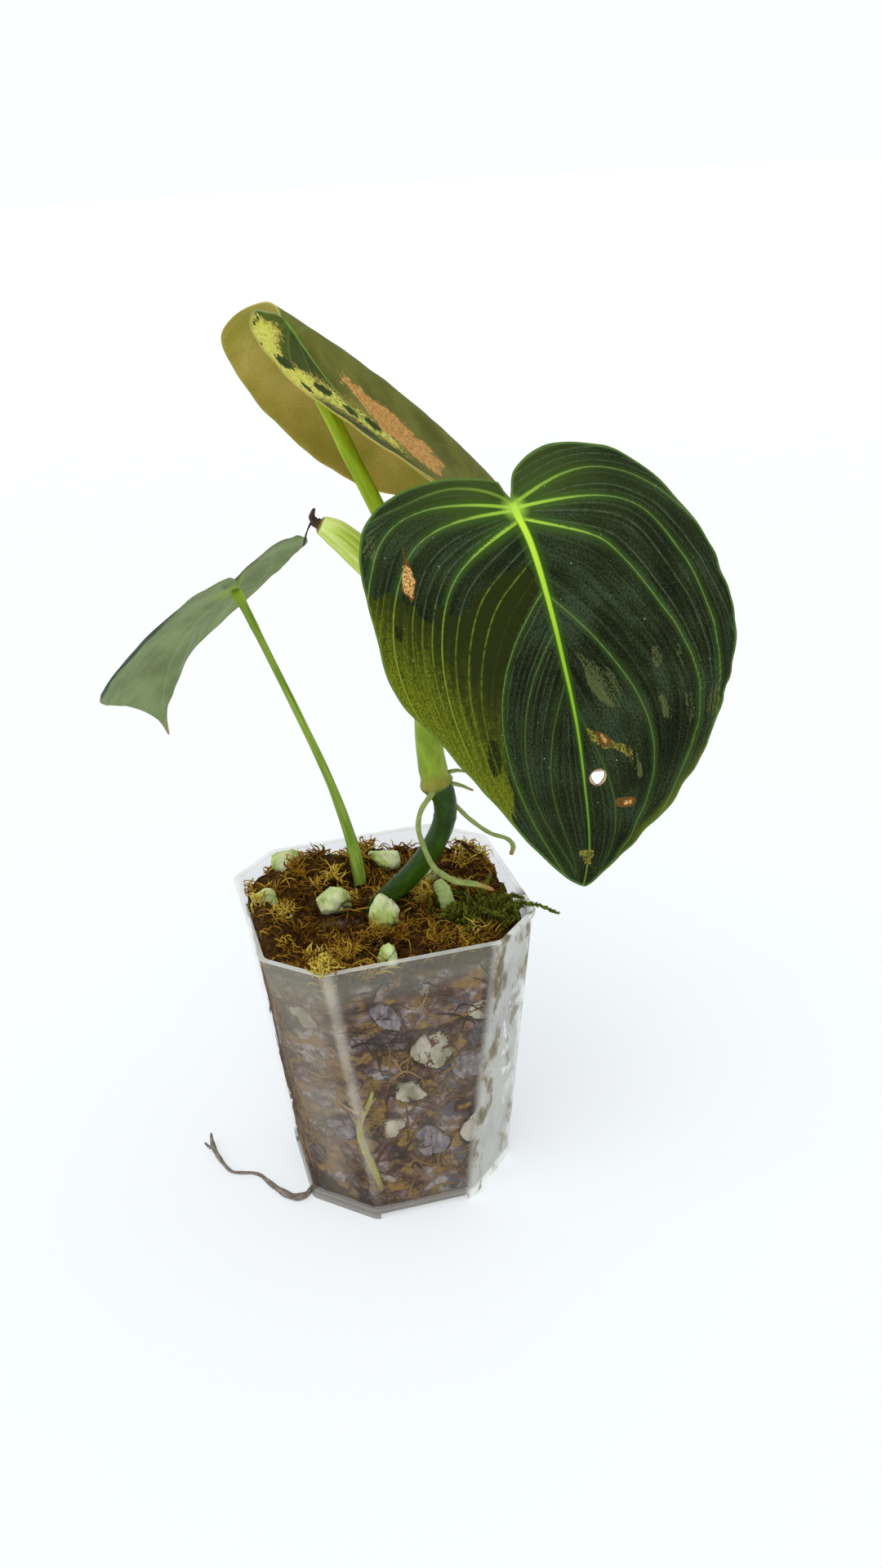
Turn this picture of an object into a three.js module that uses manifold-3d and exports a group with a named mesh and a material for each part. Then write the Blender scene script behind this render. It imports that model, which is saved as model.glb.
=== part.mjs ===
// A young velvet-leaved philodendron in a clear square nursery pot.
// Millimetres, +Z up. The pot's flats are square to X and Y, and its feet stand on z = 0 round the origin.
import * as THREE from 'three';
import { mergeVertices } from 'three/addons/utils/BufferGeometryUtils.js';
import Module from 'manifold-3d';

const wasm = await Module();
wasm.setup();

// Driving dimensions

const POT_HEIGHT = 100;
const TOP_WIDTH = 85; // across the flats at the rim
const TOP_CUT = 15; // each corner's cut, measured along the flat
const BASE_WIDTH = 68;
const BASE_CUT = 18;
const WALL = 0.8;
const RIM_HEIGHT = 2;
const RIM_OUT = 0.8;
const RIM_STEP = 0.4; // the rim band widens over this height
const FLOOR_LIFT = 2.4; // the base panel stands this far above the table
const FLOOR_THICK = 0.9;
const FOOT_WALL = 2.2 * WALL;
const ARCH_HEIGHT = 2.1;
const FOOT_WIDTH = 1.2; // what the arch leaves of each flat, beside a corner
const PAD_RADIUS = 7; // the flat disc at the middle of the base
const DRAIN_RADIUS = 4.2;
const DRAIN_RING = 22; // the drain holes' distance from the middle

const GAP = 0.3; // clearance between neighbouring pieces
const SOIL_SIDES = 46;
const SOIL_TOP = 94.5;
const SOIL_ROUGH = 1.6; // height of the top's own lumps
const SOIL_EDGE = 0.8; // how far the mix stands in from the wall, and how much that varies
const SOIL_BOTTOM = FLOOR_LIFT + FLOOR_THICK + GAP;
const SIDE_HOLLOW = { bearing: 5.95, spread: 0.42, depth: 4.2, low: 20, high: 82 };
const STRANDS = 26;
const LUMP_ROUGH = 0.32; // how far a lump's corners stand in or out, in parts of its radius

const BLADE = 0.7; // leaf thickness
const LEAF_SPOKES = 52;
const LEAF_RINGS = 5;
const LEAF_HUB = 0.25; // where the blade's spokes meet on the midrib, in parts of its length
const NOTCH = -0.02; // where its outline starts and ends, behind the stalk

// Colours

const COLOURS = {
  pot: '#dfe3e6',
  moss: '#6a4a1c',
  greenMoss: '#5a7a22',
  pumice: '#cfd0b4',
  bark: '#6d6468',
  bladeFront: '#1d2b22',
  bladeUpper: '#4a4f22',
  bladeUnder: '#8a9b72',
  stem: '#2f6a2c',
  stalk: '#7fae3a',
  sheath: '#b4cf62',
  driedTip: '#3a2618',
  root: '#a9b860',
  rootPale: '#b9cf9a',
  rootDry: '#8d8276',
};

// Helpers

let seed = 20261;
/** A repeatable draw between low and high. */
function draw(low, high) {
  seed = (Math.imul(seed, 1664525) + 1013904223) >>> 0;
  return low + (high - low) * (seed / 4294967296);
}

/** Smooth lumps between -1 and 1 from a few crossed waves. */
function lumps(x, y, z, scale) {
  const u = x / scale;
  const v = y / scale;
  const w = z / scale;
  return (
    (Math.sin(u * 2.1 + Math.sin(v * 1.7 + w) * 1.3) +
      Math.sin(v * 2.6 + Math.sin(w * 1.9 - u) * 1.2) +
      Math.sin(w * 2.3 + Math.sin(u * 1.5 + v * 1.1) * 1.4)) / 3
  );
}

/** A closed solid through rings of equal count, with a fan at each end. From the end they turn anticlockwise. */
function loft(rings, startTip, endTip) {
  const count = rings[0].length;
  const middle = (ring) => ring.reduce((sum, p) => sum.add(p), new THREE.Vector3()).divideScalar(count);
  const points = [startTip ?? middle(rings[0]), ...rings.flat(), endTip ?? middle(rings.at(-1))];
  const last = points.length - 1;
  const index = [];
  for (let i = 0; i < count; i++) {
    const next = (i + 1) % count;
    index.push(0, 1 + next, 1 + i);
    for (let r = 0; r < rings.length - 1; r++) {
      const a = 1 + r * count + i;
      const b = 1 + r * count + next;
      index.push(a, b, b + count, a, b + count, a + count);
    }
    const base = 1 + (rings.length - 1) * count;
    index.push(base + i, base + next, last);
  }
  return fromPoints(points, index);
}

function fromPoints(points, index) {
  const geometry = new THREE.BufferGeometry();
  const numbers = points.flatMap((p) => [p.x, p.y, p.z]);
  geometry.setAttribute('position', new THREE.Float32BufferAttribute(numbers, 3));
  geometry.setIndex(index);
  return geometry;
}

/** A round piece along a smooth path, with a radius at each given point. */
function taperedTube(path, radii, sides, steps) {
  const curve = new THREE.CatmullRomCurve3(path.map((p) => new THREE.Vector3(...p)), false, 'centripetal');
  const frames = curve.computeFrenetFrames(steps, false);
  const rings = [];
  for (let s = 0; s <= steps; s++) {
    const t = s / steps;
    const place = t * (radii.length - 1);
    const low = Math.min(Math.floor(place), radii.length - 2);
    const radius = THREE.MathUtils.lerp(radii[low], radii[low + 1], place - low);
    const centre = curve.getPoint(t);
    rings.push(
      Array.from({ length: sides }, (_, i) => {
        const angle = (i / sides) * Math.PI * 2;
        return centre
          .clone()
          .addScaledVector(frames.normals[s], Math.cos(angle) * radius)
          .addScaledVector(frames.binormals[s], Math.sin(angle) * radius);
      }),
    );
  }
  return loft(rings);
}

/** The same piece with every radius grown, for the hole that it stands in. */
function grownTube(spec, extra) {
  return taperedTube(spec.path, spec.radii.map((r) => r + extra), spec.sides, spec.steps);
}

function toSolid(geometry) {
  const bare = geometry.clone();
  bare.deleteAttribute('normal');
  bare.deleteAttribute('uv');
  const merged = mergeVertices(bare, 1e-4);
  return new wasm.Manifold(
    new wasm.Mesh({
      numProp: 3,
      vertProperties: new Float32Array(merged.attributes.position.array),
      triVerts: new Uint32Array(merged.index.array),
    }),
  );
}

function toGeometry(solid) {
  const mesh = solid.getMesh();
  const geometry = new THREE.BufferGeometry();
  geometry.setAttribute('position', new THREE.Float32BufferAttribute(mesh.vertProperties, 3));
  geometry.setIndex([...mesh.triVerts]);
  return geometry;
}

const group = new THREE.Group();
function place(name, geometry, colour, roughness, extra = {}) {
  const shown = geometry.index ? geometry.toNonIndexed() : geometry;
  shown.computeVertexNormals();
  const material = new THREE.MeshStandardMaterial({ color: colour, roughness, metalness: 0, ...extra });
  const mesh = new THREE.Mesh(shown, material);
  mesh.name = name;
  group.add(mesh);
}

// Pot

/** The pot's eight-sided section at a height, grown outwards by `out` (negative moves it inwards). */
function potSection(z, out) {
  const t = z / POT_HEIGHT;
  const half = THREE.MathUtils.lerp(BASE_WIDTH, TOP_WIDTH, t) / 2 + out;
  const cut = THREE.MathUtils.lerp(BASE_CUT, TOP_CUT, t) + out * (2 - Math.SQRT2);
  const near = half - cut;
  return [
    [half, -near], [half, near], [near, half], [-near, half],
    [-half, near], [-half, -near], [-near, -half], [near, -half],
  ].map(([x, y]) => new THREE.Vector3(x, y, z));
}

/** How far the pot's inner wall, moved in by `inset`, lies from the axis at an angle and a height. */
function innerReach(angle, z, inset) {
  const t = z / POT_HEIGHT;
  const half = THREE.MathUtils.lerp(BASE_WIDTH, TOP_WIDTH, t) / 2 - WALL - inset;
  const cut = THREE.MathUtils.lerp(BASE_CUT, TOP_CUT, t) - (WALL + inset) * (2 - Math.SQRT2);
  const x = Math.abs(Math.cos(angle));
  const y = Math.abs(Math.sin(angle));
  return Math.min(half / Math.max(x, y), (2 * half - cut) / (x + y));
}

function cylinder(radius, low, high, x = 0, y = 0, sides = 24) {
  const geometry = new THREE.CylinderGeometry(radius, radius, high - low, sides);
  geometry.rotateX(Math.PI / 2);
  geometry.translate(x, y, (low + high) / 2);
  return toSolid(geometry);
}

function box(width, depth, height, x, y, z) {
  const geometry = new THREE.BoxGeometry(width, depth, height);
  geometry.translate(x, y, z);
  return toSolid(geometry);
}

/** Eight drain holes: one towards each flat and one towards each corner. */
function drainPlaces() {
  return Array.from({ length: 8 }, (_, i) => {
    const angle = (i / 8) * Math.PI * 2;
    const ring = i % 2 ? DRAIN_RING + 1.5 : DRAIN_RING;
    return [Math.cos(angle) * ring, Math.sin(angle) * ring];
  });
}

/** The inside of the pot above its base, moved in from the wall by `inset`. */
function cavity(inset, top) {
  const floor = FLOOR_LIFT + FLOOR_THICK + inset;
  return toSolid(loft([potSection(floor, -WALL - inset), potSection(top, -WALL - inset)]));
}

function buildPot() {
  const shoulder = POT_HEIGHT - RIM_HEIGHT;
  const outside = [[0, 0], [shoulder, 0], [shoulder + RIM_STEP, RIM_OUT], [POT_HEIGHT, RIM_OUT]];
  let pot = toSolid(loft(outside.map(([z, out]) => potSection(z, out))));
  pot = pot.subtract(cavity(0, POT_HEIGHT + 1));
  const recess = toSolid(loft([potSection(-1, -FOOT_WALL), potSection(FLOOR_LIFT, -FOOT_WALL)]));
  pot = pot.subtract(recess.subtract(cylinder(PAD_RADIUS, 0, FLOOR_LIFT + 1)));
  // Arches between the corner feet, through all four sides.
  const arch = BASE_WIDTH - 2 * BASE_CUT - 2 * FOOT_WIDTH;
  const through = BASE_WIDTH + 4;
  const pad = cylinder(PAD_RADIUS + 1, -FLOOR_LIFT - 1, FLOOR_LIFT + 1);
  for (const [width, depth] of [[arch, through], [through, arch]]) {
    pot = pot.subtract(box(width, depth, 2 * ARCH_HEIGHT, 0, 0, 0).subtract(pad));
  }
  for (const [x, y] of drainPlaces()) {
    pot = pot.subtract(cylinder(DRAIN_RADIUS, 0.5, FLOOR_LIFT + FLOOR_THICK + 1, x, y, 16));
  }
  place('pot', toGeometry(pot), COLOURS.pot, 0.25, { transparent: true, opacity: 0.35 });
}

// Stem, stalks and roots: paths from the photograph, as [x, y, z]

const STEM = {
  path: [
    [-7, 3, 84], [-1.7, -3, 96.5], [3.5, -7.5, 104.5], [7.6, -10.4, 109.5], [14.5, -15.9, 121.5],
    [18, -18.9, 132], [17.8, -19.8, 139.5], [16, -19.4, 144], [14.6, -20, 153.4], [14.2, -21, 163],
    [14.6, -22.4, 174], [15.8, -24.2, 186], [16.6, -25.4, 194],
  ],
  radii: [3.1, 3.3, 3.4, 3.4, 3.4, 3.4, 3.6, 4.7, 4.1, 4.0, 4.1, 4.3, 4.6],
  sides: 10,
  steps: 28,
};
const STALK_A = {
  path: [
    [16.7, -25.7, 194.8], [18.5, -28.2, 201], [22, -32.6, 210.5], [26.2, -40, 221],
    [29.6, -48.6, 229.3], [31.6, -56.6, 233.3],
  ],
  radii: [4.1, 3.6, 3.1, 2.8, 2.5, 1.9],
  sides: 10,
  steps: 16,
};
const STALK_B = {
  path: [
    [16, -23, 190], [14.2, -19.6, 199], [10.5, -14.9, 210.8], [7, -8.9, 223.9], [1.8, -0.4, 238.8],
    [-2.5, 7.8, 251.5], [-6.6, 16.4, 262.8], [-9, 22.9, 273.3],
  ],
  radii: [3.4, 3.2, 3.0, 2.9, 2.9, 2.7, 2.4, 1.9],
  sides: 9,
  steps: 18,
};
const STALK_C = {
  path: [
    [-2.2, 19.8, 84], [-2.9, 21.3, 99.9], [-3.7, 23.6, 108.1], [-7.9, 28.7, 127.4],
    [-14.1, 36.4, 147.1], [-21.4, 44.4, 168.1], [-26.8, 50.9, 183.5], [-29.2, 52.9, 189.6],
  ],
  radii: [2.6, 2.6, 2.4, 1.8, 1.7, 1.7, 1.8, 1.9],
  sides: 8,
  steps: 16,
};
const SHEATH = {
  path: [
    [15.4, -24.4, 191], [10.2, -23.1, 201.3], [4.1, -21.6, 209.9], [-2.3, -20, 217.3],
    [-8, -18.6, 222.9], [-12.2, -17.5, 225.6],
  ],
  radii: [3.6, 4.3, 4.5, 4.3, 3.7, 2.4],
  sides: 10,
  steps: 14,
};
const DRY_TIP = {
  path: [[-12.75, -17.4, 225.9], [-13.9, -17.1, 227], [-13.6, -17.3, 228.6], [-12.6, -17.5, 230]],
  radii: [1.6, 1.3, 0.8, 0.35],
  sides: 8,
  steps: 8,
};
const AERIAL_ROOTS = [
  {
    path: [
      [15.6, -21.4, 144.2], [12.4, -24.2, 142], [9.9, -24, 138.5], [8.6, -23.6, 132.6],
      [9.8, -23.4, 126.1], [12.3, -23.8, 119], [15.7, -24.4, 115.2], [19.2, -25.3, 113],
      [25.1, -26.8, 111.7], [29.9, -27.9, 109.4],
    ],
    radii: [1.2, 1.1, 1.0, 1.0, 1.0, 1.05, 1.15, 1.3, 1.1, 0.6],
    sides: 7,
    steps: 24,
  },
  {
    path: [[17, -20, 144], [21.4, -22.3, 143.9], [25.8, -24.9, 142.2]],
    radii: [1.0, 0.8, 0.4],
    sides: 8,
    steps: 6,
  },
  {
    path: [
      [17.8, -19.6, 139], [21.5, -19.4, 135.6], [25.8, -18.7, 130], [32.2, -18.2, 123.9],
      [37.6, -18.7, 121], [39.2, -18.9, 118.4], [38.4, -18.7, 115.4],
    ],
    radii: [1.0, 0.9, 0.85, 0.8, 0.8, 1.0, 0.8],
    sides: 8,
    steps: 22,
  },
  {
    path: [[16, -19.6, 145.6], [20.1, -19.4, 146.9], [22.7, -19, 146.8], [25.3, -18.6, 145.8]],
    radii: [0.9, 0.8, 0.7, 0.4],
    sides: 8,
    steps: 8,
  },
];
const ROOT_STUB = {
  path: [[17.2, -6.6, 104.5], [18.4, -8, 102], [20.2, -10, 95], [21, -11, 88]],
  radii: [1.6, 2.4, 2.5, 2.4],
  sides: 10,
  steps: 9,
};
const POT_ROOT = {
  path: [
    [-14.3, -36.4, 52], [-16.2, -36, 46.5], [-18.6, -35.3, 41.5], [-19.2, -34.9, 36], [-18, -34.6, 29],
    [-15.6, -34.2, 20], [-13.6, -33.4, 11],
  ],
  radii: [0.6, 1.0, 1.1, 1.2, 1.2, 1.2, 0.9],
  sides: 7,
  steps: 14,
};
const STRAY_ROOT = {
  path: [
    [-22, -1.2, 3.1], [-22.6, -2.6, 2], [-24, -4.6, 1.15], [-28, -9, 1.05], [-33.6, -13, 1.05],
    [-36.3, -15.6, 1.25], [-39.6, -15.9, 1.5], [-42.7, -12.9, 1.4], [-45, -8.9, 1.1], [-47.2, -4.3, 0.9],
    [-49, -0.2, 0.8], [-51.4, 2, 0.8], [-54.6, 3.1, 0.8], [-58, 4.7, 0.9], [-59.7, 7.8, 1.2],
    [-61.2, 12.3, 1.7], [-62.2, 16.8, 2.2], [-62.6, 20.5, 2.8], [-62.4, 24.6, 4],
  ],
  radii: [
    0.6, 0.7, 0.8, 0.85, 0.9, 1.1, 1.25, 1.15, 0.95, 0.8, 0.6, 0.55, 0.55, 0.55, 0.6, 0.75, 0.9, 0.8, 0.35,
  ],
  sides: 7,
  steps: 36,
};
const STRAY_FORK = {
  path: [[-62.2, 17.4, 2.2], [-63.8, 19.4, 1.9], [-65.2, 21.6, 2.6]],
  radii: [0.6, 0.55, 0.35],
  sides: 6,
  steps: 4,
};

/** A tube less the space round each neighbouring tube, and round the blade that it carries. */
function tubeClearOf(spec, neighbours, blade) {
  let solid = toSolid(grownTube(spec, 0));
  for (const other of neighbours) {
    solid = solid.subtract(toSolid(grownTube(other, GAP)));
  }
  if (blade) {
    solid = solid.subtract(toSolid(leafBlade(blade, GAP)));
  }
  return largest(solid);
}

/** The largest of a solid's separate bodies. */
function largest(solid) {
  return solid.decompose().reduce((a, b) => (b.volume() > a.volume() ? b : a));
}

function buildStemAndStalks() {
  place('stem', grownTube(STEM, 0), COLOURS.stem, 0.45);
  place('stalk_a', toGeometry(tubeClearOf(STALK_A, [STEM], LEAF_A)), COLOURS.stalk, 0.5);
  place('stalk_b', toGeometry(tubeClearOf(STALK_B, [STEM, STALK_A], LEAF_B)), COLOURS.stalk, 0.5);
  place('stalk_c', toGeometry(tubeClearOf(STALK_C, [], LEAF_C)), COLOURS.stalk, 0.5);
  place('growth_sheath', toGeometry(tubeClearOf(SHEATH, [STEM, STALK_A, STALK_B])), COLOURS.sheath, 0.5);
  place('dry_tip', toGeometry(tubeClearOf(DRY_TIP, [SHEATH])), COLOURS.driedTip, 0.8);
  AERIAL_ROOTS.forEach((root, i) => {
    place(`aerial_root_${i + 1}`, toGeometry(tubeClearOf(root, [STEM])), COLOURS.root, 0.6);
  });
  place('root_stub', grownTube(ROOT_STUB, 0), COLOURS.rootPale, 0.6);
  const potRoot = toSolid(grownTube(POT_ROOT, 0)).intersect(cavity(GAP, POT_HEIGHT));
  place('pot_root', toGeometry(potRoot), COLOURS.root, 0.6);
  const stray = toSolid(grownTube(STRAY_ROOT, 0)).add(toSolid(grownTube(STRAY_FORK, 0)));
  place('stray_root', toGeometry(stray), COLOURS.rootDry, 0.9);
}

// Lumps in the mix: [x, y, z, radius, flatten, turn]

const PUMICE_LUMPS = [
  [-24, 32.5, 100, 5.5, 0.7, 0.4], // on the left back tuft
  [-13.9, 5.3, 97, 5.8, 0.85, 1.2], // pale green, left of the middle
  [-1.2, -10.5, 98.6, 4.9, 1.05, 0.3], // at the stem's foot
  [7.7, 27.5, 97, 5.2, 0.8, 2.2], // pinkish, behind
  [18.2, 15, 96.4, 6.2, 0.85, 0.9], // white, behind the stem
  [-35, 12, 97, 5.4, 0.7, 1.9], // far left
  [-5.6, -34.2, 96.4, 3.6, 0.85, 2.9], // behind the front rim
  [5.5, -34.5, 64, 7.2, 1.0, 0.5], // through the front wall
  [-2.5, -34, 49, 5.6, 0.8, 1.4],
  [-8.5, -33, 36, 4.8, 0.8, 2.4],
  [19, -31.5, 29, 7, 1.1, 0.2],
  [19.5, -34.5, 76, 5.6, 0.7, 1.1],
  [-29.5, -27.5, 79, 6, 0.9, 0.8], // through the left corner
];
const BARK_LUMPS = [
  [17.5, -33.5, 56, 8.2, 0.7, 0.7],
  [3, -31.5, 27, 7.6, 0.7, 1.9],
  [-22.5, -28, 36, 6.4, 0.6, 0.3],
  [-9, -35.5, 79, 7.4, 0.6, 1.6],
  [-33.5, -8, 62, 7.2, 0.7, 2.6],
  [30, 8, 40, 8, 0.8, 1.3],
  [-6, 34, 60, 8.5, 0.7, 0.5],
];

/** A rough broken lump: a ball of eighty faces with each corner pushed in or out. */
function lump([x, y, z, radius, flatten, turn], extra) {
  const geometry = new THREE.IcosahedronGeometry(1, 1);
  const merged = mergeVertices(geometry.deleteAttribute('normal').deleteAttribute('uv'), 1e-4);
  const position = merged.attributes.position;
  for (let i = 0; i < position.count; i++) {
    const p = new THREE.Vector3().fromBufferAttribute(position, i);
    const rough = 1 + LUMP_ROUGH * lumps(p.x + x, p.y + y, p.z + z, 0.7);
    p.multiplyScalar(radius * rough);
    p.z *= flatten;
    p.setLength(p.length() + extra);
    position.setXYZ(i, p.x, p.y, p.z);
  }
  merged.rotateX(turn * 0.6);
  merged.rotateZ(turn);
  merged.translate(x, y, z);
  return toSolid(merged);
}

// Moss and mix

/** Tufts and hollows of the mix's top: [x, y, height, spread]. */
const TUFTS = [
  [-25, 31, 5, 7], [-11, 28, 7, 6.5], [-36, 20, 4.5, 5.5], [34, 5, 10, 6.5], [22, 30, -5, 9],
  [-24, -33, 4.5, 6], [-38, 6, 4, 7], [-37, -10, 4, 6], [4, -26, 2.5, 9], [26, -30, 2, 6], [20, -2, 1.5, 7],
  [-19, -7, -9.5, 7.5], [-4, 10, -3, 8], [9, 14, -3.5, 6], [-27, 14, -2, 5],
];

function soilHeight(x, y) {
  let z = SOIL_TOP + SOIL_ROUGH * (lumps(x, y, 3, 4.6) + 0.55 * lumps(x, y, 9, 2.2));
  for (const [cx, cy, height, spread] of TUFTS) {
    z += height * Math.exp(-((x - cx) ** 2 + (y - cy) ** 2) / (spread * spread));
  }
  return z;
}

/** How far the mix stands in from the wall: lumps all round, and a wide hollow at the right front corner. */
function soilInset(angle, z) {
  const { bearing, spread, depth, low, high } = SIDE_HOLLOW;
  const share = THREE.MathUtils.clamp((z - low) / (high - low), 0, 1);
  const hollow = depth * Math.exp(-(((angle - bearing) / spread) ** 2)) * Math.sin(Math.PI * share);
  const reach = BASE_WIDTH / 2;
  const rough = SOIL_EDGE * lumps(Math.cos(angle) * reach, Math.sin(angle) * reach, z, 6);
  return Math.max(SOIL_EDGE + GAP + rough + hollow, GAP + 0.1);
}

function soilBody() {
  const ring = (reach, height) =>
    Array.from({ length: SOIL_SIDES }, (_, i) => {
      const angle = (i / SOIL_SIDES) * Math.PI * 2;
      const x = Math.cos(angle) * reach(angle);
      const y = Math.sin(angle) * reach(angle);
      return new THREE.Vector3(x, y, height(x, y));
    });
  const wall = [SOIL_BOTTOM, 14, 28, 42, 56, 70, 84].map((z) =>
    ring((angle) => innerReach(angle, z, soilInset(angle, z)), () => z),
  );
  const top = [0.985, 0.88, 0.76, 0.64, 0.51, 0.38, 0.25, 0.12].map((share) =>
    ring((angle) => innerReach(angle, SOIL_TOP, SOIL_EDGE) * share, soilHeight),
  );
  return toSolid(loft([...wall, ...top], undefined, new THREE.Vector3(0, 0, soilHeight(0, 0))));
}

/** Loose ends of moss: short curved strands sunk into the top. */
function mossStrands() {
  const solids = Array.from({ length: STRANDS }, () => {
    const angle = draw(0, Math.PI * 2);
    const r = Math.sqrt(draw(0.05, 1)) * innerReach(angle, SOIL_TOP, 4.5);
    const x = Math.cos(angle) * r;
    const y = Math.sin(angle) * r;
    const z = soilHeight(x, y);
    const heading = angle + Math.PI + draw(-1.2, 1.2);
    const length = draw(5, 9);
    const rise = draw(1.5, 5);
    const along = (t) => [x + Math.cos(heading) * length * t, y + Math.sin(heading) * length * t];
    const end = along(1);
    const endHeight = Math.max(z + rise * 0.5, soilHeight(...end) + 0.4);
    const path = [[x, y, z - 2], [...along(0.4), z + rise * 0.9], [...end, endHeight]];
    return toSolid(taperedTube(path, [1.1, 0.9, 0.4], 4, 3));
  });
  return wasm.Manifold.union(solids);
}

const GREEN_MOSS = { x: 29.5, y: -18, reach: 9.5, narrow: 0.75, top: 97.5 };
const MOSS_SHOOTS = [
  [[30, -20, 95], [36, -24, 101], [42, -29, 102.6], [47.5, -34, 101.4]], // the long one, over the rim
  [[32, -16, 95], [37, -17, 100], [40.5, -19.5, 102.5], [43.5, -22, 103.6]],
  [[26, -19, 95], [27, -22, 99.5], [29, -26, 101], [31, -29, 101]],
  [[24, -15, 95], [21, -15, 99], [17.5, -17, 99.5], [15, -19.5, 99]],
  [[30, -13, 95], [31, -10, 99.5], [33.5, -7, 101], [35, -5, 101.6]],
  [[27, -23, 94], [24, -26, 98], [21, -29, 98.5], [18.5, -31, 98]],
];

/** Living moss: a low cushion with pointed shoots. */
function greenMoss(extra) {
  const { x, y, reach, narrow, top } = GREEN_MOSS;
  const rings = [[0.75, -9], [1, -5], [1.02, -2], [0.8, 0.6], [0.4, 1.8]].map(([share, rise]) =>
    Array.from({ length: 18 }, (_, i) => {
      const angle = (i / 18) * Math.PI * 2;
      const rough = 1 + 0.12 * lumps(Math.cos(angle) * 5, Math.sin(angle) * 5, rise, 2);
      const r = reach * share * rough + extra;
      const height = top + rise + (rise > 0 ? extra : 0);
      return new THREE.Vector3(x + Math.cos(angle) * r, y + Math.sin(angle) * r * narrow, height);
    }),
  );
  const radii = [1.9, 1.6, 1, 0.35].map((r) => r + extra);
  const shoots = MOSS_SHOOTS.map((path) => toSolid(taperedTube(path, radii, 6, 6)));
  return wasm.Manifold.union([toSolid(loft(rings)), ...shoots]);
}

/** The mix, the lumps in it and the living moss, each in a pocket of the mix, round the stems and roots. */
function buildMix() {
  const inside = cavity(GAP, POT_HEIGHT + 30);
  const aboveRim = box(200, 200, 60, 0, 0, POT_HEIGHT + GAP + 30);
  const planted = [STEM, STALK_C, ROOT_STUB, POT_ROOT, AERIAL_ROOTS[0]];
  const grown = wasm.Manifold.union(planted.map((spec) => toSolid(grownTube(spec, GAP))));
  let mix = soilBody().add(mossStrands()).intersect(inside).subtract(grown).subtract(greenMoss(GAP));
  let greenCushion = greenMoss(0).intersect(inside.add(aboveRim)).subtract(grown);
  const lumpKinds = [['pumice', PUMICE_LUMPS, COLOURS.pumice], ['bark', BARK_LUMPS, COLOURS.bark]];
  let placed = grown;
  for (const [kind, specs, colour] of lumpKinds) {
    specs.forEach((spec, i) => {
      const pocket = lump(spec, GAP);
      const kept = largest(lump(spec, 0).intersect(inside).subtract(placed));
      place(`${kind}_${i + 1}`, toGeometry(kept), colour, 0.9);
      placed = placed.add(pocket);
      mix = mix.subtract(pocket);
      greenCushion = greenCushion.subtract(pocket);
    });
  }
  place('green_moss', toGeometry(largest(greenCushion)), COLOURS.greenMoss, 0.9);
  place('moss_mix', toGeometry(largest(mix)), COLOURS.moss, 0.95);
}

// Leaves

/**
 * Each leaf is flat first. Its outlines run from the notch at the stalk to the tip, as [along, across] in
 * parts of its length and half width. Then it is bent: the midrib bows and droops, and each half rises from
 * it and rolls over by `curl` radians on its half width. Azimuth, elevation and roll are in degrees.
 */
const LEAF_A = {
  stalk: [31.5, -57.1, 233.6],
  azimuth: 65.3,
  elevation: -67,
  roll: 18.9,
  length: 106.5,
  halfWidth: 46.8,
  bow: -0.05,
  droop: 0.52,
  lobeDroop: 0.3,
  left: {
    rise: 0.11, curl: 0.45,
    outline: [
      [-0.07, 0.03], [-0.1, 0.29], [-0.09, 0.58], [-0.01, 0.85], [0.2, 0.98],
      [0.39, 0.94], [0.54, 0.75], [0.8, 0.39], [0.95, 0.12],
    ],
  },
  right: {
    rise: 0.14, curl: 0.45,
    outline: [
      [-0.09, 0.09], [-0.13, 0.32], [-0.1, 0.58], [-0.01, 0.81], [0.21, 1],
      [0.46, 0.98], [0.73, 0.66], [0.9, 0.25], [0.98, 0.05],
    ],
  },
};

const LEAF_B = {
  stalk: [-8.8, 23.1, 273.7],
  azimuth: -21.5,
  elevation: -35.5,
  roll: 32.7,
  length: 112,
  halfWidth: 49.7,
  bow: 0.2,
  droop: 0.32,
  lobeDroop: 0.2,
  left: {
    rise: -0.08, curl: -0.6,
    outline: [
      [-0.05, 0.09], [-0.1, 0.28], [-0.09, 0.52], [0.04, 0.75], [0.24, 0.89],
      [0.46, 0.87], [0.67, 0.67], [0.85, 0.34], [0.95, 0.1],
    ],
  },
  right: {
    rise: 0.01, curl: 2.72,
    outline: [
      [-0.04, 0.24], [-0.07, 0.56], [0.03, 0.92], [0.19, 1.28], [0.38, 1.48],
      [0.58, 1.42], [0.78, 1.08], [0.91, 0.58], [0.97, 0.2],
    ],
  },
};
const LEAF_C = {
  stalk: [-29.4, 53.1, 190],
  azimuth: 222.2,
  elevation: -34,
  roll: -21.1,
  length: 89.8,
  halfWidth: 43.3,
  bow: -0.06,
  droop: 0.58,
  lobeDroop: 0.13,
  left: {
    rise: 0.24, curl: 0.92,
    outline: [
      [-0.03, 0.13], [-0.08, 0.36], [-0.07, 0.64], [-0, 0.91], [0.19, 0.99],
      [0.4, 0.92], [0.56, 0.65], [0.64, 0.27], [0.8, 0.06],
    ],
  },
  right: {
    rise: 0.49, curl: 0.6,
    outline: [
      [-0.1, 0.18], [-0.17, 0.43], [-0.13, 0.7], [0.01, 0.93], [0.2, 1.01],
      [0.37, 0.92], [0.55, 0.65], [0.72, 0.28], [0.87, 0.07],
    ],
  },
};

/** Level direction towards the viewpoint of the photograph, and the level direction to its right. */
const VIEW_TURN = THREE.MathUtils.degToRad(13.81);
const TOWARDS = new THREE.Vector3(-Math.sin(VIEW_TURN), -Math.cos(VIEW_TURN), 0);
const RIGHTWARDS = new THREE.Vector3(Math.cos(VIEW_TURN), -Math.sin(VIEW_TURN), 0);

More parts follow.
